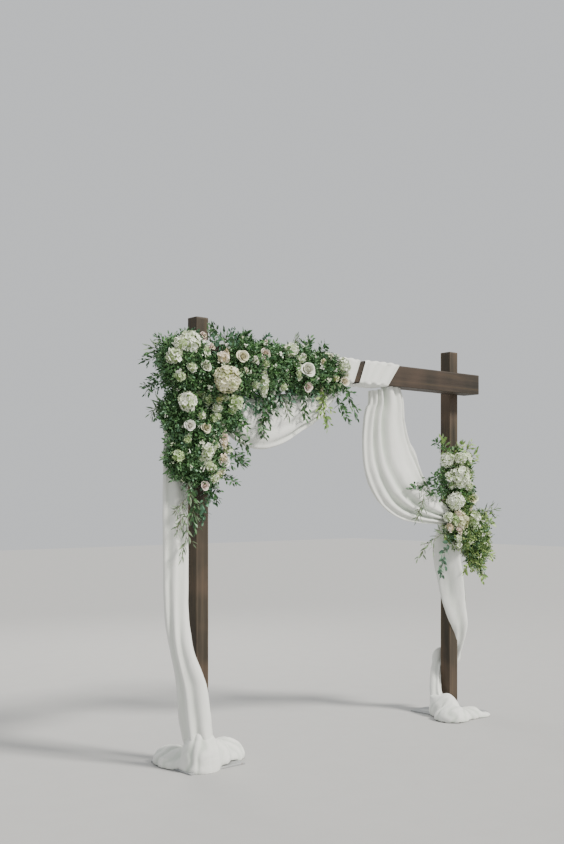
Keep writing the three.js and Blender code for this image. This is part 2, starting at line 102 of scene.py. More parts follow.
# Each length that hangs: its centre line from the posts' centre line, with half its width,
# half its depth and the way that its broad side faces. The seam is where the two edges meet,
# in degrees round from the front. The cloth is gathered into deep folds from part of the way
# out to its edges, where 0 is its middle line, or all over. Reach is how much of the way round
# it can go.
HANGING = {
    "left_fall": {
        "seam": 165, "pleats": 12, "gathered": 0.42, "reach": 1.02, "stations": [
            ((-1.217, -0.005, 2.375), 0.026, 0.016, FRONT),
            ((-1.238, 0.006, 2.200), 0.052, 0.030, FRONT),
            ((-1.282, 0.010, 1.960), 0.082, 0.042, FRONT),
            ((-1.290, 0.008, 1.600), 0.088, 0.046, FRONT),
            ((-1.295, 0.000, 1.250), 0.090, 0.046, FRONT),
            ((-1.296, -0.012, 0.920), 0.080, 0.044, (-0.25, -0.95, 0)),
            ((-1.290, -0.056, 0.690), 0.072, 0.040, NEAR_LEFT),
            ((-1.256, -0.104, 0.480), 0.092, 0.042, NEAR_LEFT),
            ((-1.240, -0.118, 0.310), 0.099, 0.050, NEAR_LEFT),
            ((-1.232, -0.122, 0.240), 0.097, 0.058, NEAR_LEFT),
            ((-1.222, -0.124, 0.172), 0.092, 0.066, NEAR_LEFT),
            ((-1.214, -0.124, 0.115), 0.078, 0.058, NEAR_LEFT),
        ],
    },
    "swag": {
        "seam": 112, "pleats": 11, "gathered": ALL_OVER, "reach": 0.92, "stations": [
            ((-1.046, BEAM_MID, 2.293), 0.032, 0.060, FRONT),
            ((-1.012, BEAM_MID, 2.170), 0.080, 0.058, FRONT),
            ((-0.930, BEAM_MID, 2.053), 0.136, 0.056, FRONT),
            ((-0.790, BEAM_MID, 2.020), 0.166, 0.055, FRONT),
            ((-0.640, BEAM_MID, 2.038), 0.158, 0.055, FRONT),
            ((-0.480, BEAM_MID, 2.088), 0.130, 0.055, FRONT),
            ((-0.330, BEAM_MID, 2.140), 0.098, 0.056, FRONT),
            ((-0.215, BEAM_MID, 2.225), 0.072, 0.058, FRONT),
            ((-0.118, BEAM_MID, 2.293), 0.055, 0.060, FRONT),
        ],
    },
    "sweep": {
        "seam": 180, "pleats": 8, "gathered": ALL_OVER, "reach": 0.66, "stations": [
            ((0.330, BEAM_MID + 0.010, 2.308), 0.142, 0.054, FRONT),
            ((0.360, BEAM_MID + 0.018, 2.195), 0.174, 0.054, FRONT),
            ((0.358, BEAM_MID + 0.026, 2.070), 0.202, 0.052, FRONT),
            ((0.380, BEAM_MID + 0.032, 1.920), 0.232, 0.050, FRONT),
            ((0.424, BEAM_MID + 0.034, 1.800), 0.252, 0.050, FRONT),
            ((0.490, BEAM_MID + 0.034, 1.705), 0.252, 0.050, FRONT),
            ((0.562, BEAM_MID + 0.032, 1.630), 0.226, 0.048, FRONT),
            ((0.650, BEAM_MID + 0.028, 1.565), 0.186, 0.046, FRONT),
            ((0.765, BEAM_MID + 0.022, 1.505), 0.132, 0.042, FRONT),
            ((0.895, BEAM_MID + 0.016, 1.458), 0.088, 0.036, FRONT),
            ((1.010, BEAM_MID + 0.012, 1.430), 0.066, 0.030, FRONT),
            ((1.085, BEAM_MID + 0.020, 1.404), 0.050, 0.024, FRONT),
        ],
    },
    "post_wrap": {
        "seam": 175, "pleats": 10, "gathered": 0.42, "reach": 1.02, "stations": [
            ((1.072, -0.048, 1.378), 0.070, 0.018, (-0.7, -0.71, 0)),
            ((1.065, -0.037, 1.225), 0.100, 0.020, NEAR_CORNER),
            ((1.067, -0.039, 1.110), 0.101, 0.020, NEAR_CORNER),
            ((1.080, -0.056, 0.995), 0.100, 0.020, NEAR_CORNER),
            ((1.092, -0.070, 0.885), 0.096, 0.020, (-0.7, -0.71, 0)),
            ((1.113, -0.079, 0.775), 0.088, 0.022, (-0.5, -0.87, 0)),
            ((1.168, -0.070, 0.665), 0.076, 0.026, (-0.4, -0.92, 0)),
            ((1.198, -0.048, 0.580), 0.062, 0.030, NEAR_RIGHT),
            ((1.208, -0.024, 0.500), 0.050, 0.030, NEAR_RIGHT),
            ((1.216, 0.014, 0.440), 0.062, 0.028, NEAR_RIGHT),
            ((1.214, 0.050, 0.392), 0.086, 0.026, NEAR_RIGHT),
            ((1.150, 0.084, 0.385), 0.080, 0.026, (-0.6, -0.8, 0)),
            ((1.108, 0.084, 0.345), 0.046, 0.026, NEAR_CORNER),
            ((1.078, 0.074, 0.290), 0.044, 0.026, NEAR_CORNER),
            ((1.052, 0.058, 0.225), 0.043, 0.028, NEAR_CORNER),
            ((1.022, 0.030, 0.155), 0.046, 0.032, NEAR_CORNER),
            ((1.000, -0.006, 0.105), 0.056, 0.038, NEAR_CORNER),
        ],
    },
}

# Bands round the beam: from and to along X, at its top and at its underside
BANDS = {
    "corner_wrap": ((-1.246, -1.188), (-1.246, -1.188)),
    "swag_hitch": ((-1.082, -1.010), (-1.082, -1.010)),
    "centre_wrap": ((-0.215, 0.030), (-0.170, -0.028)),
    "sweep_wrap": ((0.076, 0.402), (0.020, 0.292)),
}
# Heaps: the length that falls into each, the height where the two meet, and the rounded top
# where the falling cloth turns over, as its centre and radii, or None
HEAPS = {
    "left_heap": ("left_fall", 0.25, ((-1.210, -0.124, 0.030), (0.119, 0.112, 0.212))),
    "right_heap": ("post_wrap", 0.14, None),
}
SOFT_FOLDS = 0.32  # depth of the soft folds in front, over half the section's depth
DEEP_FOLDS = 0.92  # most depth of the gathered folds, over the same
FULLNESS = 1.03  # least width of cloth over the width that it covers
BAND_OUT = (0.002, 0.014)  # least and most distance of a band from the beam
BAND_PLEAT = 0.085  # width of a band's folds
BEAM_CORNER = 0.006  # radius of a band's bend at the beam's corners
CREASE = 0.0035  # depth of the small creases
HEM = 0.0016  # radius of the rolled hem
HEM_SIDES = 5
HEAP_CELL = 0.0085  # mesh step of a heap
HEAP_SMOOTHING = 26

# Kinds of leaf: length and width, rows across the blade, leaf angle, spacing and length of twig
LEAF_KINDS = {
    "ruscus": {"leaf": (0.041, 0.017), "rows": 3, "angle": 55, "step": 0.0125, "twig": 0.080},
    "myrtle": {"leaf": (0.025, 0.014), "rows": 2, "angle": 58, "step": 0.0085, "twig": 0.064},
    "olive": {"leaf": (0.046, 0.010), "rows": 2, "angle": 45, "step": 0.0140, "twig": 0.090},
    "fine": {"leaf": (0.022, 0.011), "rows": 2, "angle": 52, "step": 0.0085, "twig": 0.072},
    "tuft": {"leaf": (0.023, 0.013), "rows": 1, "angle": 66, "step": 0.0060, "twig": 0.028},
    "fine_tuft": {"leaf": (0.019, 0.011), "rows": 1, "angle": 66, "step": 0.0060, "twig": 0.028},
}
LEAF_COLOURS = {
    "ruscus": ((0.050, 0.125, 0.052), (0.155, 0.330, 0.105)),
    "myrtle": ((0.075, 0.170, 0.105), (0.205, 0.390, 0.215)),
    "olive": ((0.130, 0.200, 0.110), (0.320, 0.430, 0.230)),
    "fine": ((0.220, 0.380, 0.100), (0.600, 0.730, 0.260)),
    "tuft": ((0.040, 0.100, 0.045), (0.150, 0.300, 0.120)),
    "fine_tuft": ((0.080, 0.170, 0.050), (0.280, 0.420, 0.140)),
}

LEAF_CURL = 0.16  # how far a leaf's tip curls back, over its length
LEAF_FOLD = 0.22  # how steeply its halves fold up from the rib
STEM = 0.0014  # radius of a long sprig's stem
TWIG_STEM = 0.0009
TWIG_BOW = 0.012
TWIG_SINK = 0.64  # share of a twig that is inside the greenery
TUFT_SINK = 0.012
FILLER_RISE = 0.012  # how far the sprays of very small flowers stand out
FILLER_STEP = 0.080  # distance between them
TUFT_STEP = 0.018
# How things are set on a surface: lean aside, droop, and least and most size
MANNERS = {
    "twigs": (0.95, 0.3, 0.75, 1.05),
    "filler": (0.9, 0.0, 0.7, 1.15),
    "tufts": (0.7, 0.1, 0.8, 1.2),
    "florets": (0.55, 0.0, 0.8, 1.2),
}
SHOOTS_AT = (0.28, 0.46, 0.64, 0.80)  # where side shoots leave a long sprig
CLEAR_OF_BLOOM = 0.024  # twigs thin out nearer to a bloom than this
SPRIG_FROM = 1.2  # what lies further out than this, over a mass's own size, is a sprig
COVER_CELL = 0.022  # longest edge of the surface that twigs grow on
TOUCHING = 0.003  # faces nearer than this to timber, cloth or a bloom carry no twigs
BLOOM_SEARCH = 0.08
SEED_STEP = 40  # from one arrangement's seed to the next one's

# Each arrangement's masses (centre and radii), the twigs that cover them (kind and the
# distance between twigs), and its long sprigs (from, to, kind and size of leaf)
GREENERY = {
    "corner_greenery": {
        "masses": [
            ((-1.330, -0.150, 2.330), (0.172, 0.098, 0.162)),
            ((-1.140, -0.165, 2.240), (0.150, 0.098, 0.140)),
        ],
        "cover": [("myrtle", 0.0235), ("ruscus", 0.031), ("olive", 0.055)],
        "sprigs": [
            ((-1.160, -0.200, 2.340), (-1.175, -0.205, 2.490), "myrtle", 1.5),
            ((-1.100, -0.200, 2.350), (-1.085, -0.215, 2.500), "ruscus", 1.0),
            ((-1.050, -0.210, 2.340), (-1.035, -0.215, 2.480), "myrtle", 1.5),
            ((-1.420, -0.080, 2.380), (-1.520, 0.020, 2.330), "ruscus", 0.8),
            ((-1.410, -0.090, 2.280), (-1.510, 0.000, 2.150), "ruscus", 0.8),
            ((-1.400, -0.110, 2.420), (-1.480, -0.060, 2.475), "ruscus", 0.75),
            ((-1.020, -0.130, 2.440), (-1.131, -0.120, 2.560), "ruscus", 1.0),
            ((-0.960, -0.140, 2.440), (-1.015, -0.150, 2.534), "myrtle", 1.4),
            ((-1.400, -0.120, 2.330), (-1.508, -0.030, 2.420), "olive", 1.25),
            ((-1.400, -0.100, 2.230), (-1.515, 0.010, 2.190), "ruscus", 0.8),
            ((-1.190, -0.150, 2.400), (-1.150, -0.150, 2.572), "ruscus", 0.9),
        ],
    },
    "beam_greenery_left": {
        "masses": [
            ((-0.940, -0.165, 2.335), (0.170, 0.098, 0.160)),
            ((-0.745, -0.165, 2.345), (0.150, 0.096, 0.148)),
        ],
        "cover": [("myrtle", 0.0235), ("ruscus", 0.031), ("olive", 0.060)],
        "sprigs": [
            ((-0.940, -0.190, 2.210), (-0.925, -0.200, 2.080), "myrtle", 1.5),
            ((-0.870, -0.190, 2.210), (-0.860, -0.200, 2.060), "myrtle", 1.5),
            ((-0.879, -0.150, 2.455), (-0.902, -0.160, 2.532), "ruscus", 1.0),
            ((-0.770, -0.150, 2.460), (-0.732, -0.160, 2.545), "myrtle", 1.5),
            ((-0.690, -0.190, 2.200), (-0.820, -0.200, 1.935), "ruscus", 1.2),
            ((-0.660, -0.190, 2.200), (-0.616, -0.220, 2.046), "olive", 1.1),
            ((-0.765, -0.190, 2.210), (-0.702, -0.200, 2.067), "ruscus", 1.0),
            ((-0.930, -0.170, 2.440), (-0.905, -0.170, 2.545), "ruscus", 1.1),
            ((-0.785, -0.200, 2.270), (-0.800, -0.205, 1.912), "ruscus", 1.2),
            ((-0.740, -0.185, 2.240), (-0.745, -0.190, 2.120), "myrtle", 1.4),
            ((-0.640, -0.185, 2.250), (-0.655, -0.190, 2.125), "myrtle", 1.4),
        ],
    },
    "beam_greenery_right": {
        "masses": [
            ((-0.500, -0.160, 2.355), (0.160, 0.094, 0.142)),
            ((-0.270, -0.158, 2.352), (0.160, 0.088, 0.124)),
            ((-0.618, -0.172, 2.398), (0.092, 0.078, 0.084)),
        ],
        "cover": [("myrtle", 0.0235), ("ruscus", 0.031), ("olive", 0.060)],
        "sprigs": [
            ((-0.555, -0.160, 2.480), (-0.489, -0.160, 2.550), "olive", 1.0),
            ((-0.320, -0.160, 2.465), (-0.251, -0.160, 2.530), "ruscus", 0.9),
            ((-0.180, -0.170, 2.260), (-0.086, -0.200, 2.048), "ruscus", 1.1),
            ((-0.314, -0.180, 2.240), (-0.280, -0.200, 1.990), "fine", 2.0),
            ((-0.245, -0.180, 2.240), (-0.357, -0.200, 2.072), "fine", 1.9),
            ((-0.430, -0.170, 2.450), (-0.395, -0.170, 2.558), "ruscus", 1.1),
            ((-0.450, -0.195, 2.290), (-0.470, -0.205, 2.052), "ruscus", 1.25),
            ((-0.165, -0.165, 2.330), (-0.012, -0.200, 2.076), "ruscus", 1.2),
            ((-0.560, -0.185, 2.270), (-0.570, -0.190, 2.130), "myrtle", 1.4),
            ((-0.380, -0.185, 2.280), (-0.390, -0.190, 2.170), "myrtle", 1.4),
        ],
    },
    "inner_greenery": {
        "masses": [((-1.060, -0.150, 2.060), (0.105, 0.082, 0.095))],
        "cover": [("myrtle", 0.0235), ("ruscus", 0.032)],
        "sprigs": [
            ((-1.040, -0.190, 2.040), (-0.930, -0.200, 1.985), "ruscus", 1.1),
            ((-1.060, -0.170, 1.970), (-0.912, -0.200, 1.832), "ruscus", 1.0),
            ((-1.070, -0.150, 1.900), (-0.927, -0.190, 1.780), "ruscus", 1.0),
        ],
    },
    "post_greenery_upper": {
        "masses": [
            ((-1.320, -0.118, 2.040), (0.140, 0.088, 0.140)),
            ((-1.190, -0.128, 1.950), (0.125, 0.080, 0.120)),
        ],
        "cover": [("myrtle", 0.0235), ("ruscus", 0.031)],
        "sprigs": [((-1.400, -0.110, 2.090), (-1.502, -0.040, 2.035), "olive", 1.2)],
    },
    "post_greenery_lower": {
        "masses": [
            ((-1.290, -0.100, 1.800), (0.135, 0.072, 0.130)),
            ((-1.150, -0.108, 1.770), (0.105, 0.066, 0.125)),
        ],
        "cover": [("myrtle", 0.0235), ("ruscus", 0.031)],
        "sprigs": [
            ((-1.080, -0.130, 1.730), (-0.963, -0.160, 1.644), "ruscus", 0.9),
            ((-1.310, -0.115, 1.560), (-1.405, -0.130, 1.475), "olive", 1.0),
            ((-1.305, -0.115, 1.480), (-1.379, -0.120, 1.364), "olive", 1.0),
            ((-1.190, -0.120, 1.680), (-1.189, -0.118, 1.423), "myrtle", 1.7),
            ((-1.240, -0.115, 1.680), (-1.232, -0.112, 1.435), "olive", 1.0),
            ((-1.145, -0.135, 1.680), (-1.103, -0.140, 1.532), "ruscus", 1.0),
            ((-1.230, -0.118, 1.720), (-1.238, -0.112, 1.370), "ruscus", 1.25),
            ((-1.300, -0.118, 1.720), (-1.328, -0.106, 1.215), "olive", 1.3),
            ((-1.110, -0.150, 1.830), (-0.905, -0.176, 1.758), "ruscus", 1.15),
            ((-1.160, -0.130, 1.700), (-1.150, -0.128, 1.545), "ruscus", 1.1),
        ],
    },
    "right_greenery_upper": {
        "masses": [
            ((1.065, -0.125, 1.730), (0.125, 0.082, 0.165)),
            ((1.110, -0.118, 1.560), (0.130, 0.076, 0.120)),
        ],
        "cover": [("fine", 0.028), ("myrtle", 0.030), ("ruscus", 0.036)],
        "sprigs": [
            ((0.960, -0.140, 1.632), (0.700, -0.180, 1.690), "ruscus", 1.1),
            ((0.960, -0.140, 1.600), (0.690, -0.180, 1.580), "ruscus", 1.0),
            ((0.960, -0.140, 1.674), (0.794, -0.170, 1.725), "ruscus", 1.1),
            ((0.668, -0.170, 1.596), (0.575, -0.180, 1.404), "olive", 1.0),
            ((0.960, -0.130, 1.840), (0.819, -0.130, 1.960), "ruscus", 1.0),
            ((1.160, -0.130, 1.870), (1.238, -0.130, 1.960), "fine", 2.0),
            ((1.190, -0.130, 1.820), (1.290, -0.130, 1.905), "fine", 2.0),
            ((1.010, -0.120, 1.840), (0.905, -0.120, 1.985), "fine", 2.2),
            ((1.050, -0.125, 1.860), (1.120, -0.130, 1.960), "fine", 2.2),
            ((1.000, -0.130, 1.640), (0.545, -0.150, 1.625), "ruscus", 1.2),
        ],
    },
    "right_greenery_lower": {
        "masses": [
            ((1.110, -0.128, 1.345), (0.145, 0.078, 0.150)),
            ((1.290, -0.130, 1.250), (0.120, 0.070, 0.190)),
        ],
        "cover": [("fine", 0.0225), ("myrtle", 0.036)],
        "sprigs": [
            ((0.960, -0.150, 1.260), (0.862, -0.150, 1.010), "myrtle", 1.8),
            ((1.340, -0.130, 1.400), (1.500, -0.130, 1.375), "fine", 2.0),
            ((1.360, -0.130, 1.216), (1.500, -0.120, 1.120), "fine", 2.0),
            ((1.215, -0.130, 1.130), (1.147, -0.130, 1.020), "fine", 2.0),
            ((1.230, -0.135, 1.420), (1.515, -0.150, 1.482), "olive", 1.3),
            ((1.300, -0.130, 1.130), (1.368, -0.125, 0.950), "fine", 2.2),
            ((1.010, -0.140, 1.320), (0.625, -0.150, 1.145), "olive", 1.35),
        ],
    },
}

# Florets, clusters and small roses
BLOOM_FACING = Vector((-0.25, -1, 0.2)).normalized()
FLORET_RISE = Vector((0.006, 0.006, 0.006))  # how far florets stand out of their ball
FLORET_SINK = 0.006
INNER = 0.86  # size of the ball inside a head, dark with painted shade, over the head's own
# Florets: number of petals, length and width of a petal, and how far it is cupped
FLORETS = {
    "hydrangea": (4, 0.0165, 0.0155, 0.0035),
    "stock": (5, 0.0140, 0.0120, 0.0045),
    "small": (5, 0.0105, 0.0090, 0.0028),
    "filler": (5, 0.0080, 0.0070, 0.0030),
}
# A floret's petal: across over its width, along over its length, and rise over its cup
PETAL_OUTLINE = [
    (0, 0, 0), (-0.5, 0.45, 0.5), (-0.42, 0.86, 1), (0.42, 0.86, 1), (0.5, 0.45, 0.5), (0, 1.0, 1)]
FIRST_SEEDS = {"hydrangea": 100, "stock": 200, "small": 300}
STOCK_STEP = 0.0175  # distance between the florets of the stock
SMALL_STEP = 0.0150  # distance between the florets of a cluster
LONE_ROSE_PETALS = 18
BUD_PETALS = 13
SMALL_OUT = 0.014  # how far small flowers stand out of their place
SMALL_SHAPES = {"wax": 0.9, "stock": 1.9}  # height of a cluster over its width
# Small flowers between the blooms: kind, colour, place from the posts' centre line and radius.
# Wax and stock are clusters of tiny flowers, a spray is of small roses, and a rose is one alone.
SMALL_FLOWERS = {
    "corner_small_flowers": [
        ("spray", "blush", -1.254, -0.215, 2.478, 0.028), ("spray", "blush", -1.217, -0.240, 2.415, 0.024),
        ("stock", "blush", -1.094, -0.205, 2.369, 0.029), ("wax", "white", -1.363, -0.240, 2.286, 0.031),
        ("wax", "green", -1.419, -0.210, 2.234, 0.034), ("stock", "white", -1.246, -0.222, 2.385, 0.024),
        ("spray", "blush", -0.981, -0.255, 2.298, 0.022), ("spray", "white", -0.908, -0.255, 2.362, 0.030),
        ("wax", "cream", -1.158, -0.222, 2.127, 0.030), ("wax", "white", -1.143, -0.192, 2.027, 0.030),
        ("wax", "white", -1.261, -0.195, 2.026, 0.032), ("wax", "white", -1.253, -0.165, 2.149, 0.026),
        ("wax", "green", -1.071, -0.228, 2.063, 0.030), ("wax", "white", -1.189, -0.168, 1.745, 0.034),
        ("wax", "white", -1.138, -0.150, 1.675, 0.034), ("spray", "white", -1.079, -0.160, 1.718, 0.026),
        ("wax", "cream", -1.069, -0.245, 2.200, 0.030), ("wax", "green", -1.211, -0.185, 2.126, 0.040),
        ("wax", "white", -1.145, -0.190, 2.078, 0.042), ("wax", "white", -1.120, -0.215, 2.135, 0.034),
        ("wax", "green", -1.166, -0.180, 2.014, 0.036), ("rose", "cream", -1.233, -0.200, 1.959, 0.036),
        ("wax", "white", -1.156, -0.165, 1.866, 0.044), ("wax", "white", -1.220, -0.150, 1.790, 0.042),
        ("wax", "green", -1.155, -0.150, 1.728, 0.040), ("stock", "blush", -1.083, -0.175, 1.891, 0.027),
        ("wax", "blush", -1.083, -0.165, 1.787, 0.034), ("wax", "cream", -1.108, -0.145, 1.701, 0.036),
        ("wax", "white", -1.465, -0.195, 2.336, 0.040), ("wax", "green", -1.329, -0.148, 1.890, 0.030),
        ("wax", "white", -1.425, -0.225, 2.416, 0.046), ("wax", "blush", -1.143, -0.240, 2.357, 0.040),
        ("wax", "white", -0.822, -0.235, 2.350, 0.030), ("spray", "white", -1.108, -0.185, 1.990, 0.032),
        ("wax", "white", -1.040, -0.150, 1.835, 0.034),
    ],
    "beam_small_flowers": [
        ("spray", "white", -0.514, -0.242, 2.422, 0.027), ("stock", "white", -0.558, -0.240, 2.327, 0.026),
        ("spray", "cream", -0.344, -0.222, 2.410, 0.029), ("spray", "white", -0.251, -0.206, 2.445, 0.026),
        ("wax", "cream", -0.248, -0.235, 2.308, 0.029), ("spray", "blush", -0.773, -0.180, 2.485, 0.024),
        ("spray", "cream", -0.320, -0.190, 2.245, 0.022), ("wax", "white", -0.665, -0.215, 2.225, 0.030),
        ("wax", "white", -0.604, -0.222, 2.458, 0.046), ("rose", "white", -0.137, -0.205, 2.338, 0.042),
        ("wax", "white", -0.544, -0.232, 2.400, 0.034), ("wax", "white", -0.888, -0.220, 2.220, 0.030),
    ],
    "right_small_flowers": [
        ("spray", "white", 0.985, -0.110, 1.285, 0.032), ("spray", "blush", 0.980, -0.150, 1.345, 0.030),
        ("wax", "green", 0.990, -0.165, 1.405, 0.048), ("wax", "green", 1.149, -0.200, 1.385, 0.042),
        ("spray", "white", 1.150, -0.175, 1.760, 0.025), ("wax", "white", 0.945, -0.150, 1.706, 0.042),
        ("spray", "cream", 1.166, -0.170, 1.489, 0.026), ("wax", "white", 1.110, -0.195, 1.640, 0.034),
        ("wax", "white", 1.028, -0.185, 1.838, 0.056), ("rose", "cream", 1.165, -0.185, 1.552, 0.038),
        ("wax", "green", 1.201, -0.165, 1.431, 0.050), ("wax", "white", 1.023, -0.170, 1.275, 0.034),
        ("wax", "white", 1.040, -0.155, 1.225, 0.030), ("wax", "white", 0.970, -0.150, 1.650, 0.034),
        ("wax", "blush", 1.030, -0.165, 1.432, 0.044), ("wax", "white", 1.062, -0.190, 1.700, 0.046),
        ("wax", "white", 0.925, -0.160, 1.420, 0.042), ("wax", "blush", 0.945, -0.155, 1.350, 0.038),
        ("wax", "white", 1.169, -0.205, 1.418, 0.048), ("spray", "blush", 1.020, -0.190, 1.325, 0.036),
    ],
}


# Settings that a user may change

class TimberSettings(bpy.types.PropertyGroup):
    ease: bpy.props.FloatProperty(
        name="Eased edge", description="Radius of the lumber's rounded edges",
        default=0.004, unit="LENGTH")
    dark: bpy.props.FloatVectorProperty(
        name="Dark grain", description="Colour of the stain in the dark grain",
        default=(0.022, 0.017, 0.009), subtype="COLOR")
    light: bpy.props.FloatVectorProperty(
        name="Light grain", description="Colour of the stain in the light grain",
        default=(0.094, 0.066, 0.034), subtype="COLOR")


class SteelSettings(bpy.types.PropertyGroup):
    bolt: bpy.props.FloatProperty(
        name="Screw", description="Diameter of the lag screws that hold the beam",
        default=0.0127, unit="LENGTH")
    plate: bpy.props.FloatVectorProperty(
        name="Plate", description="Colour of the plates' paint",
        default=(0.30, 0.31, 0.31), subtype="COLOR")


class ClothSettings(bpy.types.PropertyGroup):
    width: bpy.props.FloatProperty(
        name="Cut width", description="Width of the chiffon before it is gathered",
        default=CLOTH_FLAT[0], unit="LENGTH")
    cell: bpy.props.FloatProperty(
        name="Mesh step", description="Distance between the mesh's rows and columns",
        default=0.0115, unit="LENGTH")
    colour: bpy.props.FloatVectorProperty(
        name="Chiffon", description="Colour of the chiffon",
        default=(0.80, 0.81, 0.765), subtype="COLOR")


class GreenerySettings(bpy.types.PropertyGroup):
    spread: bpy.props.FloatProperty(
        name="Twig spread", description="Scales the distance between the twigs", default=1.0)
    seed: bpy.props.IntProperty(
        name="Seed", description="Fixes where the twigs and leaves fall", default=4)


class BloomSettings(bpy.types.PropertyGroup):
    floret: bpy.props.FloatProperty(
        name="Floret", description="Distance between the florets of a hydrangea head",
        default=0.0200, unit="LENGTH")
    petals: bpy.props.IntProperty(
        name="Petals", description="Number of petals in a rose", default=20)


class StageSettings(bpy.types.PropertyGroup):
    floor: bpy.props.FloatVectorProperty(
        name="Floor", description="Colour of the studio floor",
        default=(0.42, 0.42, 0.41), subtype="COLOR")
    backdrop: bpy.props.FloatVectorProperty(
        name="Backdrop", description="Colour of the light all round",
        default=(0.90, 0.92, 0.94), subtype="COLOR")


# Objects and meshes

def from_posts(place):
    """A place that is given from the posts' centre line."""
    return Vector(place) + Vector((0, POST_LINE, 0))


@contextmanager
def edited(mesh):
    """The mesh as a bmesh, which is written back afterwards."""
    shape = bmesh.new()
    shape.from_mesh(mesh)
    yield shape
    shape.to_mesh(mesh)
    shape.free()


def tube_faces(rows, count, capped=True):
    """Faces between closed rows of vertices with the same count, and over both ends."""
    faces = []
    for row in range(rows - 1):
        for i in range(count):
            a, b = row * count + i, row * count + (i + 1) % count
            faces.append((a, b, b + count, a + count))
    if capped:
        faces.append(tuple(reversed(range(count))))
        faces.append(tuple(range((rows - 1) * count, rows * count)))
    return faces


def grid_faces(rows, columns):
    """Faces between rows of vertices with as many columns each."""
    firsts = [row * columns + column for row in range(rows - 1) for column in range(columns - 1)]
    return [(a, a + 1, a + 1 + columns, a + columns) for a in firsts]


def mesh_object(name, verts, faces, smooth=True):
    mesh = bpy.data.meshes.new(name)
    mesh.from_pydata([tuple(v) for v in verts], [], [tuple(f) for f in faces])
    mesh.polygons.foreach_set("use_smooth", [smooth] * len(mesh.polygons))
    mesh.update()
    return linked(name, mesh)


def linked(name, data):
    obj = bpy.data.objects.new(name, data)
    bpy.context.scene.collection.objects.link(obj)
    return obj


def twin(obj):
    """A second object like the first, with its own mesh."""
    made = obj.copy()
    made.data = obj.data.copy()
    bpy.context.scene.collection.objects.link(made)
    return made


def removed(obj):
    data = obj.data
    bpy.data.objects.remove(obj)
    if isinstance(data, bpy.types.Mesh) and data.users == 0:
        bpy.data.meshes.remove(data)


def set_values(mesh, name, values):
    """A number for each vertex, that materials read by its name."""
    attribute = mesh.attributes.get(name) or mesh.attributes.new(name, "FLOAT", "POINT")
    attribute.data.foreach_set("value", np.asarray(values, dtype=np.float32))


def merged_copy(node, name):
    """A copy of a CAD node's mesh with its doubled vertices merged."""
    mesh = bpy.data.meshes.new(name)
    with edited(mesh) as shape:
        shape.from_mesh(frame["nodes"][node].data)
        bmesh.ops.remove_doubles(shape, verts=shape.verts, dist=1e-5)
    return linked(name, mesh)


def joined(name, objects):
    """One object of several, each of them with its own materials."""
    first = objects[0]
    if len(objects) > 1:
        with bpy.context.temp_override(
            active_object=first, object=first, selected_objects=objects,
            selected_editable_objects=objects,
        ):
            bpy.ops.object.join()
    first.name = name
    first.data.name = name
    return first


def evaluated_copy(obj, name):
    """The object as its modifiers make it, as a plain mesh. The object itself is removed."""
    depsgraph = bpy.context.evaluated_depsgraph_get()
    mesh = bpy.data.meshes.new_from_object(obj.evaluated_get(depsgraph))
    made = linked(name, mesh)
    removed(obj)
    return made


def place_piece(obj, slot, *nodes, material=None):
    """Attaches a finished piece to the root body, gives it a material if one is given, and hides the nodes
    that it stands for.
    """
    if material is not None:
        obj.data.materials.clear()
        obj.data.materials.append(material)
    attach(obj, "root")
    if nodes:
        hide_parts(*nodes)
    return obj


def smooth_path(rows, count):
    """Places along a Catmull-Rom curve through the rows of numbers."""
    rows = np.array(rows, dtype=float)
    padded = np.vstack([2 * rows[0] - rows[1], rows, 2 * rows[-1] - rows[-2]])
    place = np.linspace(0, len(rows) - 1, count + 1)
    first = np.minimum(place.astype(int), len(rows) - 2)
    t = (place - first)[:, None]
    p0, p1, p2, p3 = (padded[first + k] for k in range(4))
    return 0.5 * (
        2 * p1 + (p2 - p0) * t + (2 * p0 - 5 * p1 + 4 * p2 - p3) * t**2
        + (3 * p1 - p0 - 3 * p2 + p3) * t**3
    )


def unit(vectors):
    return vectors / np.maximum(np.linalg.norm(vectors, axis=-1, keepdims=True), 1e-9)


# Materials

SOCKETS = {
    "specular": "Specular IOR Level",
    "sheen": "Sheen Weight",
    "sheen_roughness": "Sheen Roughness",
}


class Tree:
    """A node tree under construction."""

    def fill(self, socket, value):
        """Links a socket to an output, or gives it a value."""
        if isinstance(value, bpy.types.NodeSocket):
            self.tree.links.new(value, socket)
        elif value is not None:
            socket.default_value = value

    def node(self, kind, inputs=None, **settings):
        """A new node. Its inputs are given by name; only the enabled socket of a name counts."""
        made = self.tree.nodes.new(kind)
        for key, value in settings.items():
            setattr(made, key, value)
        for key, value in (inputs or {}).items():
            self.fill(next(s for s in made.inputs if s.enabled and s.name == key), value)
        return made

    def out(self, kind, inputs=None, **settings):
        """The first enabled output of a new node."""
        return next(s for s in self.node(kind, inputs, **settings).outputs if s.enabled)


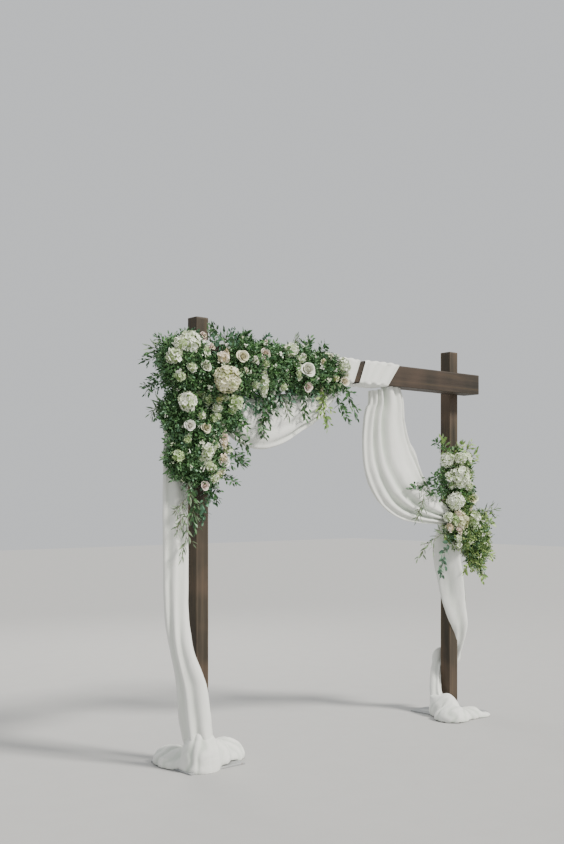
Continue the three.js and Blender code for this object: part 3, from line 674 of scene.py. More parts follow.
class Finish(Tree):
    """A node-based material under construction."""

    def __init__(self, name, **values):
        self.material = bpy.data.materials.new(name)
        self.material.use_nodes = True
        self.tree = self.material.node_tree
        self.shader = self.tree.nodes["Principled BSDF"]
        for socket, value in values.items():
            self.shader.inputs[SOCKETS.get(socket, socket.capitalize())].default_value = value

    def object_place(self, scale=(1, 1, 1)):
        where = self.node("ShaderNodeTexCoord").outputs["Object"]
        return self.out("ShaderNodeMapping", {"Vector": where, "Scale": scale})

    def noise(self, place, scale, detail=4.0, roughness=0.55, distortion=0.0):
        return self.out("ShaderNodeTexNoise", {
            "Vector": place, "Scale": scale, "Detail": detail, "Roughness": roughness,
            "Distortion": distortion})

    def value(self, name):
        return self.node("ShaderNodeAttribute", attribute_name=name).outputs["Fac"]

    def ramp(self, factor, *stops):
        made = self.node("ShaderNodeValToRGB", {"Fac": factor})
        points = made.color_ramp.elements
        while len(points) < len(stops):
            points.new(0.5)
        for point, (position, colour) in zip(points, stops):
            point.position = position
            point.color = (*colour, 1) if isinstance(colour, tuple) else (colour,) * 3 + (1,)
        return made.outputs["Color"]

    def mix(self, factor, first, second, blend="MIX"):
        made = self.node("ShaderNodeMix", data_type="RGBA", blend_type=blend)
        sockets = [s for s in made.inputs if s.enabled]
        for socket, value in zip(sockets, (factor, first, second)):
            self.fill(socket, (*value, 1) if isinstance(value, tuple) else value)
        return next(s for s in made.outputs if s.enabled)

    def darken(self, share, colour, factor, *stops):
        """The colour multiplied by a ramp, by some share."""
        return self.mix(share, colour, self.ramp(factor, *stops), "MULTIPLY")

    def done(self, colour, relief=None, depth=0.0, strength=0.0, roughness=None):
        """The finished material, with relief of some depth in metres."""
        self.fill(self.shader.inputs["Base Color"], colour)
        self.fill(self.shader.inputs["Roughness"], roughness)
        if relief:
            self.fill(self.shader.inputs["Normal"], self.out("ShaderNodeBump", {
                "Height": relief, "Distance": depth, "Strength": strength}))
        return self.material


PAINTED_LIGHT_TONE = {"post_timber": 1.12, "beam_timber": 0.66}  # painted light: the posts lighter as if sunlit, the beam darker as if in shade


def wood_finish(name, along):
    """Walnut-stained lumber whose grain runs along one axis, with painted patches of sunlight and a tone
    painted lighter or darker for sun or shade.
    """
    settings = bpy.context.scene.arch_timber
    finish = Finish(name, specular=0.35)
    streaks = tuple(0.8 if axis == along else 22 for axis in range(3))
    fibres = tuple(9 if axis == along else 420 for axis in range(3))
    grain = finish.noise(finish.object_place(streaks), 1.0, 7, 0.62, 0.9)
    fibre = finish.noise(finish.object_place(fibres), 1.0, 3, 0.6)
    sun_patch_mask = finish.noise(finish.object_place(), 2.3, 3)
    colour = finish.ramp(
        grain, (0.30, tuple(settings.dark)), (0.52, (0.051, 0.039, 0.025)),
        (0.72, tuple(settings.light)))
    colour = finish.darken(0.55, colour, fibre, (0.25, 0.35), (0.7, 1.0))
    # Painted light: lighter reddish patches stand for dappled sunlight on the wood
    painted_sun_patches = finish.ramp(sun_patch_mask, (0.45, 0.0), (0.75, 0.55))
    colour = finish.mix(painted_sun_patches, colour, (0.132, 0.082, 0.054))
    worn = finish.darken(1.0, finish.value("wear"), fibre, (0.35, 0.0), (0.6, 0.4))
    colour = finish.mix(worn, colour, (0.105, 0.079, 0.054))
    # Painted light: lighter on the posts as if sunlit, darker on the beam as if in shade
    colour = finish.mix(1.0, colour, (PAINTED_LIGHT_TONE[name],) * 3, "MULTIPLY")
    dull = finish.ramp(grain, (0.3, 0.52), (0.7, 0.74))
    return finish.done(colour, finish.mix(0.5, grain, fibre), 0.0011, 0.8, dull)


def steel_finish():
    """Grey painted plate with scuffs, and rust at its edges."""
    settings = bpy.context.scene.arch_steel
    finish = Finish("painted_steel", metallic=0.25)
    place = finish.object_place()
    scuffs = finish.noise(place, 55, 6, 0.7)
    rust = finish.noise(place, 18, 5, 0.7, 0.6)
    colour = finish.ramp(
        scuffs, (0.35, tuple(settings.plate)), (0.62, (0.40, 0.41, 0.41)), (0.8, (0.22, 0.22, 0.21)))
    edge = finish.darken(1.0, finish.value("wear"), rust, (0.60, 0.0), (0.68, 0.8))
    spots = finish.ramp(rust, (0.70, 0.0), (0.78, 0.7))
    colour = finish.mix(finish.mix(1.0, edge, spots, "LIGHTEN"), colour, (0.19, 0.075, 0.030))
    dull = finish.ramp(scuffs, (0.3, 0.42), (0.7, 0.72))
    return finish.done(colour, scuffs, 0.0004, 0.5, dull)


def zinc_finish():
    """Zinc-plated screws and washers, slightly dulled."""
    finish = Finish("zinc", metallic=1.0)
    spots = finish.noise(finish.object_place(), 160, 5, 0.6)
    colour = finish.ramp(spots, (0.3, (0.30, 0.30, 0.29)), (0.7, (0.46, 0.46, 0.45)))
    dull = finish.ramp(spots, (0.3, 0.28), (0.7, 0.5))
    return finish.done(colour, spots, 0.0002, 0.4, dull)


def chiffon_finish():
    """White chiffon: a fine crossed weave, with painted shade that makes it a little darker and greener
    down in its folds.
    """
    settings = bpy.context.scene.arch_cloth
    finish = Finish("chiffon", roughness=0.78, sheen=0.35, sheen_roughness=0.45, specular=0.25)
    uv = finish.out("ShaderNodeUVMap", uv_map="weave")
    threads = [
        finish.node("ShaderNodeTexWave", {
            "Vector": uv, "Scale": 320.0, "Distortion": 0.6, "Detail": 1.0,
        }, bands_direction=direction).outputs["Fac"]
        for direction in ("X", "Y")
    ]
    crumple = finish.noise(finish.object_place(), 46, 4, 0.5, 0.4)
    drawn = finish.out("ShaderNodeMapping", {"Vector": uv, "Scale": (70, 2.2, 1)})
    streaks = finish.noise(drawn, 1.0, 4, 0.6, 0.5)
    # Painted shade: the colour turns darker and greener with the depth of each fold
    colour = finish.mix(
        finish.ramp(finish.value("fold"), (0.1, 0.0), (0.95, 1.0)),
        tuple(settings.colour), (0.60, 0.65, 0.58))
    colour = finish.darken(0.16, colour, streaks, (0.35, 0.6), (0.65, 1.0))
    relief = finish.mix(0.3, crumple, finish.mix(0.5, *threads))
    return finish.done(colour, finish.mix(0.5, relief, streaks), 0.0022, 0.55)


def leaf_finish(kind):
    """Leaves of one kind: each leaf and each twig has its own shade, and stems are browner."""
    dark, light = LEAF_COLOURS[kind]
    dull = {"ruscus": 0.38, "olive": 0.55, "fine": 0.5}.get(kind, 0.42)
    finish = Finish(f"{kind}_leaf", roughness=dull, specular=0.45)
    veins = finish.noise(finish.object_place(), 240, 3, 0.5)
    middle = tuple((a + b) / 2 for a, b in zip(dark, light))
    shade = finish.mix(0.55, finish.value("leaf_tint"), finish.value("twig_tint"))
    colour = finish.ramp(shade, (0.12, dark), (0.5, middle), (0.88, light))
    colour = finish.darken(0.35, colour, veins, (0.3, 0.6), (0.7, 1.0))
    stem = (0.115, 0.105, 0.045) if kind in ("fine", "olive") else (0.060, 0.075, 0.025)
    colour = finish.mix(finish.value("stem"), colour, stem)
    return finish.done(colour, veins, 0.0004, 0.4)


def painted_shade_finish():
    """Painted shade: the dark depth of an arrangement, between its leaves."""
    finish = Finish("painted_shade_core", roughness=0.9, specular=0.1)
    tangle = finish.noise(finish.object_place(), 70, 6, 0.75, 1.2)
    colour = finish.ramp(tangle, (0.35, (0.010, 0.024, 0.010)), (0.65, (0.065, 0.120, 0.048)))
    return finish.done(colour, tangle, 0.006, 1.0)


# Petals: their colours at the rim, in the middle and at the heart; the deep heart colour is partly their
# own and partly painted shade
PETAL_COLOURS = {
    "white_bloom": ((0.90, 0.92, 0.83), (0.79, 0.83, 0.66), (0.32, 0.40, 0.20)),
    "cream_bloom": ((0.82, 0.79, 0.60), (0.70, 0.68, 0.42), (0.30, 0.31, 0.12)),
    "blush_bloom": ((0.87, 0.79, 0.72), (0.85, 0.71, 0.61), (0.66, 0.50, 0.38)),
    "green_bloom": ((0.64, 0.74, 0.50), (0.48, 0.60, 0.32), (0.18, 0.27, 0.09)),
}
ROSE_COLOURS = {
    "white_bloom": ((0.86, 0.87, 0.79), (0.84, 0.81, 0.66), (0.62, 0.52, 0.32)),
    "cream_bloom": ((0.87, 0.82, 0.67), (0.84, 0.74, 0.52), (0.62, 0.46, 0.25)),
    "blush_bloom": ((0.88, 0.78, 0.71), (0.84, 0.66, 0.56), (0.62, 0.38, 0.28)),
}


def petal_finish(slot, flower="hydrangea"):
    """Petals of one colour: paler to the rim, deeper to the heart, partly as their own colour and partly
    as painted shade, with faint veins.
    """
    rim, middle, heart_and_shade = (ROSE_COLOURS if flower == "rose" else PETAL_COLOURS)[slot]
    finish = Finish(f"{slot}_{flower}_petal", roughness=0.62, specular=0.25, sheen=0.1)
    veins = finish.noise(finish.object_place(), 300, 4, 0.6)
    # Deeper toward the heart: partly the flower's own colour, partly painted shade
    colour = finish.ramp(finish.value("heart_and_shade"), (0.05, rim), (0.50, middle), (1.0, heart_and_shade))
    tint = finish.value("twig_tint")
    colour = finish.darken(1.0, colour, tint, (0.05, (0.74, 0.82, 0.62)), (0.6, (1, 1, 1)))
    colour = finish.darken(0.25, colour, veins, (0.3, 0.72), (0.7, 1.0))
    return finish.done(colour, veins, 0.0003, 0.35)


def cached(make, *key):
    """What a function makes, made once for each key."""
    name = "_".join([make.__name__, *map(str, key)])
    if name not in cached.made:
        cached.made[name] = make(*key)
    return cached.made[name]


cached.made = {}


# Geometry Nodes

MOST_TWIGS = 60000.0  # to a square metre, before the ones too close together go


class Nodes(Tree):
    """A Geometry Nodes tree under construction, with named inputs."""

    def __init__(self, name, inputs):
        self.tree = bpy.data.node_groups.new(name, "GeometryNodeTree")
        face = self.tree.interface
        face.new_socket("Geometry", in_out="INPUT", socket_type="NodeSocketGeometry")
        self.ids = {}
        for label, kind, default in inputs:
            socket = face.new_socket(label, in_out="INPUT", socket_type="NodeSocket" + kind)
            if default is not None:
                socket.default_value = default
            self.ids[label] = socket.identifier
        face.new_socket("Geometry", in_out="OUTPUT", socket_type="NodeSocketGeometry")
        self.given = self.tree.nodes.new("NodeGroupInput").outputs
        self.result = self.tree.nodes.new("NodeGroupOutput").inputs

    def math(self, operation, first, second):
        node = self.node("ShaderNodeMath", operation=operation)
        for socket, value in zip(node.inputs, (first, second)):
            self.fill(socket, value)
        return node.outputs[0]

    def vector(self, operation, first, second=None, scale=None):
        node = self.node("ShaderNodeVectorMath", operation=operation)
        for place, value in ((0, first), (1, second), (3, scale)):
            self.fill(node.inputs[place], value)
        return node.outputs[0]

    def random(self, low, high, seed, kind="FLOAT"):
        return self.out("FunctionNodeRandomValue", {"Min": low, "Max": high, "Seed": seed},
                        data_type=kind)

    def turned(self, rotation, axis, angle):
        """A rotation turned further, about one of its own axes."""
        euler = self.out("ShaderNodeCombineXYZ", {axis: angle})
        further = self.out("FunctionNodeEulerToRotation", {"Euler": euler})
        return self.out("FunctionNodeRotateRotation", {
            "Rotation": rotation, "Rotate By": further}, rotation_space="LOCAL")

    def copies(self, points, item, **placing):
        """Copies of an item, one at each point."""
        shape = self.node("GeometryNodeObjectInfo", {"Object": item}).outputs["Geometry"]
        return self.out("GeometryNodeInstanceOnPoints", {
            "Points": points, "Instance": shape, **placing})

    def stored(self, geometry, name, value, domain="INSTANCE"):
        """The geometry with a number on each of its points or copies."""
        return self.out("GeometryNodeStoreNamedAttribute", {
            "Geometry": geometry, "Name": name, "Value": value,
        }, data_type="FLOAT", domain=domain)

    def finish(self, geometry, material):
        solid = self.out("GeometryNodeRealizeInstances", {"Geometry": geometry})
        shaded = self.out("GeometryNodeSetMaterial", {"Geometry": solid, "Material": material})
        self.tree.links.new(shaded, self.result["Geometry"])
        return self


def run_nodes(nodes, obj, name, **values):
    """What a tree makes of an object, as a plain mesh object. The object itself is removed."""
    modifier = obj.modifiers.new("nodes", "NODES")
    modifier.node_group = nodes.tree
    for label, value in values.items():
        modifier[nodes.ids[label]] = value
    return evaluated_copy(obj, name)


def scatter_nodes():
    """Copies of an item scattered over a surface, more or less upright on it."""
    nodes = Nodes("scatter", [
        ("Item", "Object", None), ("Material", "Material", None), ("Spacing", "Float", 0.03),
        ("Lean", "Float", 0.5), ("Droop", "Float", 0.2), ("Sink", "Float", 0.0),
        ("Smallest", "Float", 0.8), ("Largest", "Float", 1.2), ("Seed", "Int", 1),
    ])
    given = nodes.given
    room = nodes.out("GeometryNodeInputNamedAttribute", {"Name": "room"}, data_type="FLOAT")
    spread = nodes.node("GeometryNodeDistributePointsOnFaces", {
        "Mesh": given["Geometry"], "Distance Min": given["Spacing"], "Density Max": MOST_TWIGS,
        "Density Factor": room, "Seed": given["Seed"],
    }, distribute_method="POISSON")
    normal = spread.outputs["Normal"]
    seed_b = nodes.math("ADD", given["Seed"], 11.0)
    seed_c = nodes.math("ADD", given["Seed"], 23.0)
    aside = nodes.vector(
        "SCALE", nodes.random((-1, -1, -1), (1, 1, 1), seed_b, "FLOAT_VECTOR"), scale=given["Lean"])
    down = nodes.vector("SCALE", (0, 0, -1), scale=given["Droop"])
    direction = nodes.vector("ADD", nodes.vector("ADD", normal, aside), down)
    upright = nodes.out("FunctionNodeAlignRotationToVector", {"Vector": direction}, axis="Z")
    sink = nodes.math("MULTIPLY", given["Sink"], nodes.random(-1.4, -0.6, seed_b))
    inward = nodes.vector("SCALE", normal, scale=sink)
    points = nodes.out("GeometryNodeSetPosition", {
        "Geometry": spread.outputs["Points"], "Offset": inward})
    placed = nodes.copies(
        points, given["Item"],
        Rotation=nodes.turned(upright, "Z", nodes.random(0.0, 2 * math.pi, seed_c)),
        Scale=nodes.random(given["Smallest"], given["Largest"], given["Seed"]))
    tinted = nodes.stored(placed, "twig_tint", nodes.random(0.0, 1.0, seed_c))
    return nodes.finish(tinted, given["Material"])


def sprig_nodes():
    """Leaves set in turn along curves, smaller to the tip, with the stems."""
    nodes = Nodes("sprig", [
        ("Leaf", "Object", None), ("Material", "Material", None), ("Step", "Float", 0.015),
        ("Angle", "Float", 0.8), ("Size", "Float", 1.0), ("Stem", "Float", 0.0012),
        ("Seed", "Int", 1),
    ])
    given = nodes.given
    points = nodes.out("GeometryNodeResampleCurve", {
        "Curve": given["Geometry"], "Length": given["Step"]}, mode="LENGTH")
    along = nodes.node("GeometryNodeSplineParameter").outputs["Factor"]
    tangent = nodes.out("GeometryNodeInputTangent")
    index = nodes.out("GeometryNodeInputIndex")
    seed_b = nodes.math("ADD", given["Seed"], 7.0)
    rotation = nodes.out("FunctionNodeAlignRotationToVector", {"Vector": tangent}, axis="Z")
    turn = nodes.math(
        "ADD", nodes.math("MULTIPLY", index, GOLDEN_TURN), nodes.random(-0.4, 0.4, given["Seed"]))
    tip = nodes.math("MULTIPLY", nodes.math("POWER", along, 4.0), 0.75)
    open_angle = nodes.math(
        "MULTIPLY", given["Angle"], nodes.math("SUBTRACT", nodes.random(0.65, 1.35, seed_b), tip))
    facing = nodes.random(-1.1, 1.1, nodes.math("ADD", given["Seed"], 15.0))
    for axis, angle in (("Z", turn), ("X", open_angle), ("Z", facing)):
        rotation = nodes.turned(rotation, axis, angle)
    shrink = nodes.math("SUBTRACT", 1.08, nodes.math("MULTIPLY", along, 0.36))
    size = nodes.math(
        "MULTIPLY", nodes.math("MULTIPLY", given["Size"], shrink), nodes.random(0.8, 1.12, seed_b))
    leaves = nodes.copies(points, given["Leaf"], Rotation=rotation, Scale=size)
    leaves = nodes.stored(leaves, "leaf_tint", nodes.random(0.0, 1.0, given["Seed"]))
    ring = nodes.out("GeometryNodeCurvePrimitiveCircle", {"Resolution": 3, "Radius": given["Stem"]})
    line = nodes.out("GeometryNodeResampleCurve", {
        "Curve": given["Geometry"], "Length": nodes.math("MULTIPLY", given["Step"], 2.0),
    }, mode="LENGTH")
    stems = nodes.out("GeometryNodeCurveToMesh", {
        "Curve": line, "Profile Curve": ring, "Fill Caps": True})
    stems = nodes.stored(stems, "stem", 1.0, "POINT")
    both = nodes.node("GeometryNodeJoinGeometry")
    nodes.tree.links.new(leaves, both.inputs[0])
    nodes.tree.links.new(stems, both.inputs[0])
    return nodes.finish(both.outputs[0], given["Material"])


def scattered(name, surface, item, finish, manner, spacing, sink, seed):
    """Copies of an item all over a surface, which is removed."""
    lean, droop, smallest, largest = MANNERS[manner]
    return run_nodes(
        cached(scatter_nodes), surface, name, Item=item, Material=finish, Spacing=spacing, Lean=lean,
        Droop=droop, Sink=sink, Smallest=smallest, Largest=largest, Seed=seed)


def leafy(name, stems, kind, leaf, size, thickness, seed):
    """Stems along curves, with leaves of one kind. The curves are removed."""
    form = LEAF_KINDS[kind]
    return run_nodes(
        cached(sprig_nodes), stems, name, Leaf=leaf, Material=cached(leaf_finish, kind),
        Step=form["step"] * size, Angle=math.radians(form["angle"]), Size=size, Stem=thickness,
        Seed=seed)


def copies_nodes():
    """One copy of an item at each vertex of a mesh."""
    nodes = Nodes("copies", [("Item", "Object", None), ("Material", "Material", None)])
    placed = nodes.copies(nodes.given["Geometry"], nodes.given["Item"])
    return nodes.finish(placed, nodes.given["Material"])


# Timber, plates and bolts

LUMBER_CELL = 0.09  # distance between the rings of vertices along the lumber
LUMBER_END = 0.014  # place of the last ring before an end
PLATE_RIM = 0.0015  # size of the plates' rounded edges
PLATE_CORNER = 0.008
SCREWS = ((-0.020, 0.034), (0.020, -0.034))  # across from a post's middle and up from the beam's


def all_round(side):
    """The points of one side and its corner, as (across, up, note), turned to all four sides.
    Each comes with its turn."""
    points = []
    for turn in (quarter * math.pi / 2 for quarter in range(4)):
        cos, sin = math.cos(turn), math.sin(turn)
        points += [(x * cos - y * sin, x * sin + y * cos, note, turn) for x, y, note in side]
    return points


def eased_profile(half, ease, inset):
    """A rounded square, as (across, across, edge): edge is 1 on the round of a corner."""
    corner = [
        (half - ease + ease * math.cos(a), half - ease + ease * math.sin(a), 1)
        for a in (step / 3 * math.pi / 2 for step in range(4))
    ]
    side = [(half - inset, half, 0), (0, half, 0), (inset - half, half, 0)]
    return [(x, y, edge) for x, y, edge, _ in all_round(corner + side)]


def closed_solid(name, verts, faces, sharp=None):
    """A closed solid whose faces look out. Edges that bend by more than sharp degrees are sharp."""
    obj = mesh_object(name, verts, faces)
    with edited(obj.data) as shape:
        bmesh.ops.remove_doubles(shape, verts=shape.verts, dist=1e-6)
        bmesh.ops.recalc_face_normals(shape, faces=shape.faces)
    if sharp:
        obj.data.set_sharp_from_angle(angle=math.radians(sharp))
    return obj


def lumber(name, low, high, along, ease):
    """A length of square lumber with eased edges and ends, slightly uneven as planed wood is."""
    centre = (low + high) / 2
    length = high[along] - low[along]
    others = [axis for axis in range(3) if axis != along]
    half = (high[others[0]] - low[others[0]]) / 2
    profile = eased_profile(half, ease, 0.012)
    steps = max(4, round(length / LUMBER_CELL))
    ends = [0, 0.35 * ease, ease, LUMBER_END]
    places = ends + [LUMBER_END + (length - 2 * LUMBER_END) * i / steps for i in range(1, steps)]
    places += [length - e for e in reversed(ends)]
    verts, wear = [], []
    for place in places:
        from_end = min(place, length - place)
        inward = ease - math.sqrt(max(0.0, ease**2 - max(0.0, ease - from_end) ** 2))
        shrink = (half - inward) / half
        for x, y, edge in profile:
            spot = Vector()
            spot[others[0]] = x * shrink
            spot[others[1]] = y * shrink
            spot[along] = place - length / 2
            spot += centre
            uneven = 0.0005 * (noise.noise(spot * 5) - 1)
            spot[others[0]] += uneven * (1 if x > 0 else -1)
            spot[others[1]] += uneven * (1 if y > 0 else -1)
            verts.append(spot)
            wear.append(1.0 if edge or from_end <= ease else 0.0)
    obj = closed_solid(name, verts, tube_faces(len(places), len(profile)), 40)
    set_values(obj.data, "wear", wear)
    return obj


def turned_shape(name, outline, sides, back):
    """A solid turned about the Y axis from (radius, y) points that start and end on the axis."""
    verts = []
    for radius, y in outline:
        for side in range(sides):
            a = 2 * math.pi * side / sides
            verts.append((radius * math.cos(a), y + back, radius * math.sin(a)))
    return closed_solid(name, verts, tube_faces(len(outline), sides, capped=False), 35)


class ARCH_OT_timber(bpy.types.Operator):
    """Make the posts and the beam with eased edges and their walnut stain"""

    bl_idname = "arch.make_timber"
    bl_label = "Timber"

    def execute(self, context):
        ease = context.scene.arch_timber.ease
        for node in TIMBER:
            along = 0 if node == "cross_beam" else 2
            obj = lumber(f"{node}_timber", *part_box(node), along, ease)
            finish = cached(wood_finish, "beam_timber" if along == 0 else "post_timber", along)
            place_piece(obj, "timber", node, material=finish)
        return {"FINISHED"}


class ARCH_OT_plates(bpy.types.Operator):
    """Make the steel base plates with their sawn edges rounded off"""

    bl_idname = "arch.make_plates"
    bl_label = "Base plates"

    def execute(self, context):
        for node in PLATES:
            low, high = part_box(node)
            half, thick, rim = (high.x - low.x) / 2, high.z - low.z, PLATE_RIM
            centre = (low + high) / 2
            rings = [
                (half - rim, 0), (half, rim), (half, thick - rim), (half - rim, thick),
                (half - 8 * rim, thick)]
            verts, wear = [], []
            for reach, z in rings:
                for x, y, _ in eased_profile(reach, PLATE_CORNER, 0.03):
                    verts.append((centre.x + x, centre.y + y, low.z + z))
                    wear.append(0.0 if reach < half - 2 * rim else 1.0)
            faces = tube_faces(len(rings), len(verts) // len(rings))
            obj = closed_solid(f"{node}_steel", verts, faces, 30)
            set_values(obj.data, "wear", wear)
            place_piece(obj, "steel", node, material=cached(steel_finish))
        return {"FINISHED"}


def bolt_shape(size):
    """A lag screw driven from behind through a post: its washer and its six-sided head."""
    back = POST_HIGH.y
    washer = [(0, 0), (1.5 * size, 0), (1.5 * size, 0.0018), (1.46 * size, 0.0024), (0, 0.0024)]
    head = [(0, 0.0024), (0.86 * size, 0.0024), (0.92 * size, 0.0036), (0.92 * size, 0.0085),
            (0.78 * size, 0.0100), (0, 0.0104)]
    return joined("bolt", [
        turned_shape("bolt_washer", washer, 24, back), turned_shape("bolt_head", head, 6, back)])


class ARCH_OT_bolts(bpy.types.Operator):
    """Make the two lag screws at each joint of the beam with a post"""

    bl_idname = "arch.make_bolts"
    bl_label = "Lag screws"

    def execute(self, context):
        bolt = bolt_shape(context.scene.arch_steel.bolt)
        middle = (BEAM_LOW.z + BEAM_HIGH.z) / 2
        spots = [(x + across, 0, middle + up) for x in POST_MIDDLES for across, up in SCREWS]
        points = mesh_object("bolt_spots", spots, [])
        bolts = run_nodes(copies_nodes(), points, "beam_bolts", Item=bolt, Material=cached(zinc_finish))
        removed(bolt)
        place_piece(bolts, "steel")
        return {"FINISHED"}


# Cloth

def fold_shape(turn, place, pleats, gathered, phase):
    """How far folds push the cloth in across its width, from 0 on a crest to 1 in a valley:
    soft ones, deep ones that differ in depth, and where the cloth is gathered into those."""
    wander = 0.9 * np.sin(2 * turn + 0.7 * phase) + 0.6 * np.sin(3 * turn - 1.3 * phase + 1)
    deep = (0.5 - 0.5 * np.cos(pleats * turn + wander + 0.35 * phase)) ** 1.3
    deep *= 0.62 + 0.38 * np.sin(2.3 * turn + 1.1 * phase + 0.5)
    soft = 0.5 - 0.5 * np.cos(0.45 * pleats * turn + 0.9 * wander + 0.25 * phase)
    gather = np.clip((np.abs(place) - gathered) / 0.30, 0, 1)
    return soft, deep, gather**2 * (3 - 2 * gather)


def section_points(wide, deep, turn, fold):
    """An oval pushed in by its folds, as points across and out."""
    across, out = wide * np.sin(turn), deep * np.cos(turn)
    normal = unit(np.stack([np.sin(turn) / wide, np.cos(turn) / deep], axis=-1))
    return np.stack([across, out], axis=-1) - normal * fold[:, None]


def length_of(points):
    """The length of a line through points."""
    return np.linalg.norm(np.diff(points, axis=0), axis=1).sum()


def hanging_grid(plan, width, cell):
    """A gathered length of the cloth: a grid of points, with the depth of its folds."""
    stations = [(*at, wide, deep, *facing) for at, wide, deep, facing in plan["stations"]]
    length = length_of(smooth_path(stations, 60)[:, :3])
    rows = smooth_path(stations, max(8, round(length / cell)))
    centres = rows[:, :3] + [0, POST_LINE, 0]
    directions = unit(np.gradient(centres, axis=0))
    columns = round(width / (0.75 * cell))
    place = np.linspace(-1, 1, columns + 1)
    seam = math.radians(plan["seam"])
    grid, folds = [], []
    for row, centre, direction in zip(rows, centres, directions):
        wide, deep = max(row[3], 0.01), max(row[4], 0.008)
        out = row[5:8] - direction * np.dot(row[5:8], direction)
        out /= np.linalg.norm(out)
        side = np.cross(direction, out)
        phase = 2.1 * row[2] + 1.7 * row[0]
        whole = section_points(wide, deep, np.linspace(0, 2 * np.pi, 80), np.zeros(80))
        reach = min(plan["reach"], width / FULLNESS / length_of(whole))
        turn = seam + math.pi + place * math.pi * reach
        soft, pleated, gather = fold_shape(
            seam + math.pi * place, place, plan["pleats"], plan["gathered"], phase)
        soft = SOFT_FOLDS * deep * soft * (1 - gather)
        low, high = 0.0, DEEP_FOLDS * deep
        for _ in range(14):
            depth = (low + high) / 2
            push = soft + depth * pleated * gather
            if length_of(section_points(wide, deep, turn, push)) < width:
                low = depth
            else:
                high = depth
        tucked = 0.0025 * np.clip(np.abs(place) * 8 - 7, 0, 1)
        points = section_points(wide, deep, turn, push + tucked)
        grid.append(centre + points[:, :1] * side + points[:, 1:] * out)
        # Fold depth, which the chiffon's finish paints as shade
        folds.append(np.clip(push / (0.7 * deep), 0, 1))
    return creased(np.array(grid)), np.array(folds)


def creased(grid):
    """Small soft creases that run mostly down the cloth."""
    normals = unit(np.cross(np.gradient(grid, axis=1), np.gradient(grid, axis=0)))
    for spot in np.ndindex(grid.shape[:2]):
        x, y, z = grid[spot]
        crease = noise.noise(Vector((x * 17, y * 17, z * 5)))
        crease += 0.5 * noise.noise(Vector((x * 34 + 7, y * 34, z * 13)))
        grid[spot] += normals[spot] * CREASE * crease
    return grid


def beam_ring(cell):
    """Places round the beam's section from its centre, each with the way out as an angle."""
    half = (BEAM_HIGH.y - BEAM_LOW.y) / 2
    flat = half - BEAM_CORNER
    per_side = max(6, round(2 * half / cell))
    line = [(half, -flat + 2 * flat * i / per_side, 0.0) for i in range(per_side)]
    bend = [
        (flat + BEAM_CORNER * math.cos(a), flat + BEAM_CORNER * math.sin(a), a)
        for a in (math.pi / 2 * step / 4 for step in range(4))
    ]
    ring = [(y, z, a + turn) for y, z, a, turn in all_round(line + bend)]
    return [*ring, ring[0]]


def band_grid(top, low, cell):
    """A band of cloth round the beam, a little wider than flat, with folds that run round it."""
    half_z = (BEAM_HIGH.z - BEAM_LOW.z) / 2
    centre = (BEAM_LOW + BEAM_HIGH) / 2
    reach = max(top[1] - top[0], low[1] - low[0])
    place = np.linspace(0, 1, max(10, round(reach / (0.6 * cell))) + 1)
    pleats = max(1.2, reach / BAND_PLEAT)
    edge = np.clip(9 * np.minimum(place, 1 - place), 0, 1)
    grid, folds = [], []
    for y, z, a in beam_ring(cell):
        up = min(1, max(0, (z + half_z) / (2 * half_z)))
        start, stop = (below + (above - below) * up for above, below in zip(top, low))
        wander = 0.5 * np.sin(5 * place + 2 * a) + 0.4 * math.sin(3 * a)
        shape = (0.5 - 0.5 * np.cos(2 * np.pi * pleats * place + 2.6 * wander)) ** 1.4
        out = BAND_OUT[0] + (BAND_OUT[1] - BAND_OUT[0]) * (1 - 0.65 * shape) * (0.3 + 0.7 * edge)
        x = start + (stop - start) * place
        grid.append(np.stack([
            x, centre.y + y + out * math.cos(a), centre.z + z + out * math.sin(a)], axis=-1))
        # Fold depth, which the chiffon's finish paints as shade
        folds.append(0.35 * shape)
    return np.array(grid), np.array(folds)


def crumple(place, middle):
    """How deep the cloth dips, from 0 to 1: in long folds that run out from the middle of the
    heap, and in small creases."""
    x, y = place.x - middle.x, place.y - middle.y
    reach = math.hypot(x, y)
    drift = noise.noise(place * 6) + 0.6 * noise.noise(place * 13)
    turn = math.atan2(y, x)
    long_fold = (0.5 - 0.5 * math.cos(15 * turn + 5.0 * drift + 16 * reach)) ** 2
    creases = max(0, 1 - 3.6 * abs(noise.noise(place * 15 + Vector((4, 2, 8)))))
    return long_fold * min(1, reach / 0.12), creases**1.6


def end_of(fall, height):
    """The solid of a fall below one height."""
    end = merged_copy(fall, f"{fall}_end")
    with edited(end.data) as shape:
        cut = bmesh.ops.bisect_plane(
            shape, geom=shape.verts[:] + shape.edges[:] + shape.faces[:], plane_co=(0, 0, height),
            plane_no=(0, 0, 1), clear_outer=True)["geom_cut"]
        bmesh.ops.edgeloop_fill(shape, edges=[e for e in cut if isinstance(e, bmesh.types.BMEdge)])
    return end


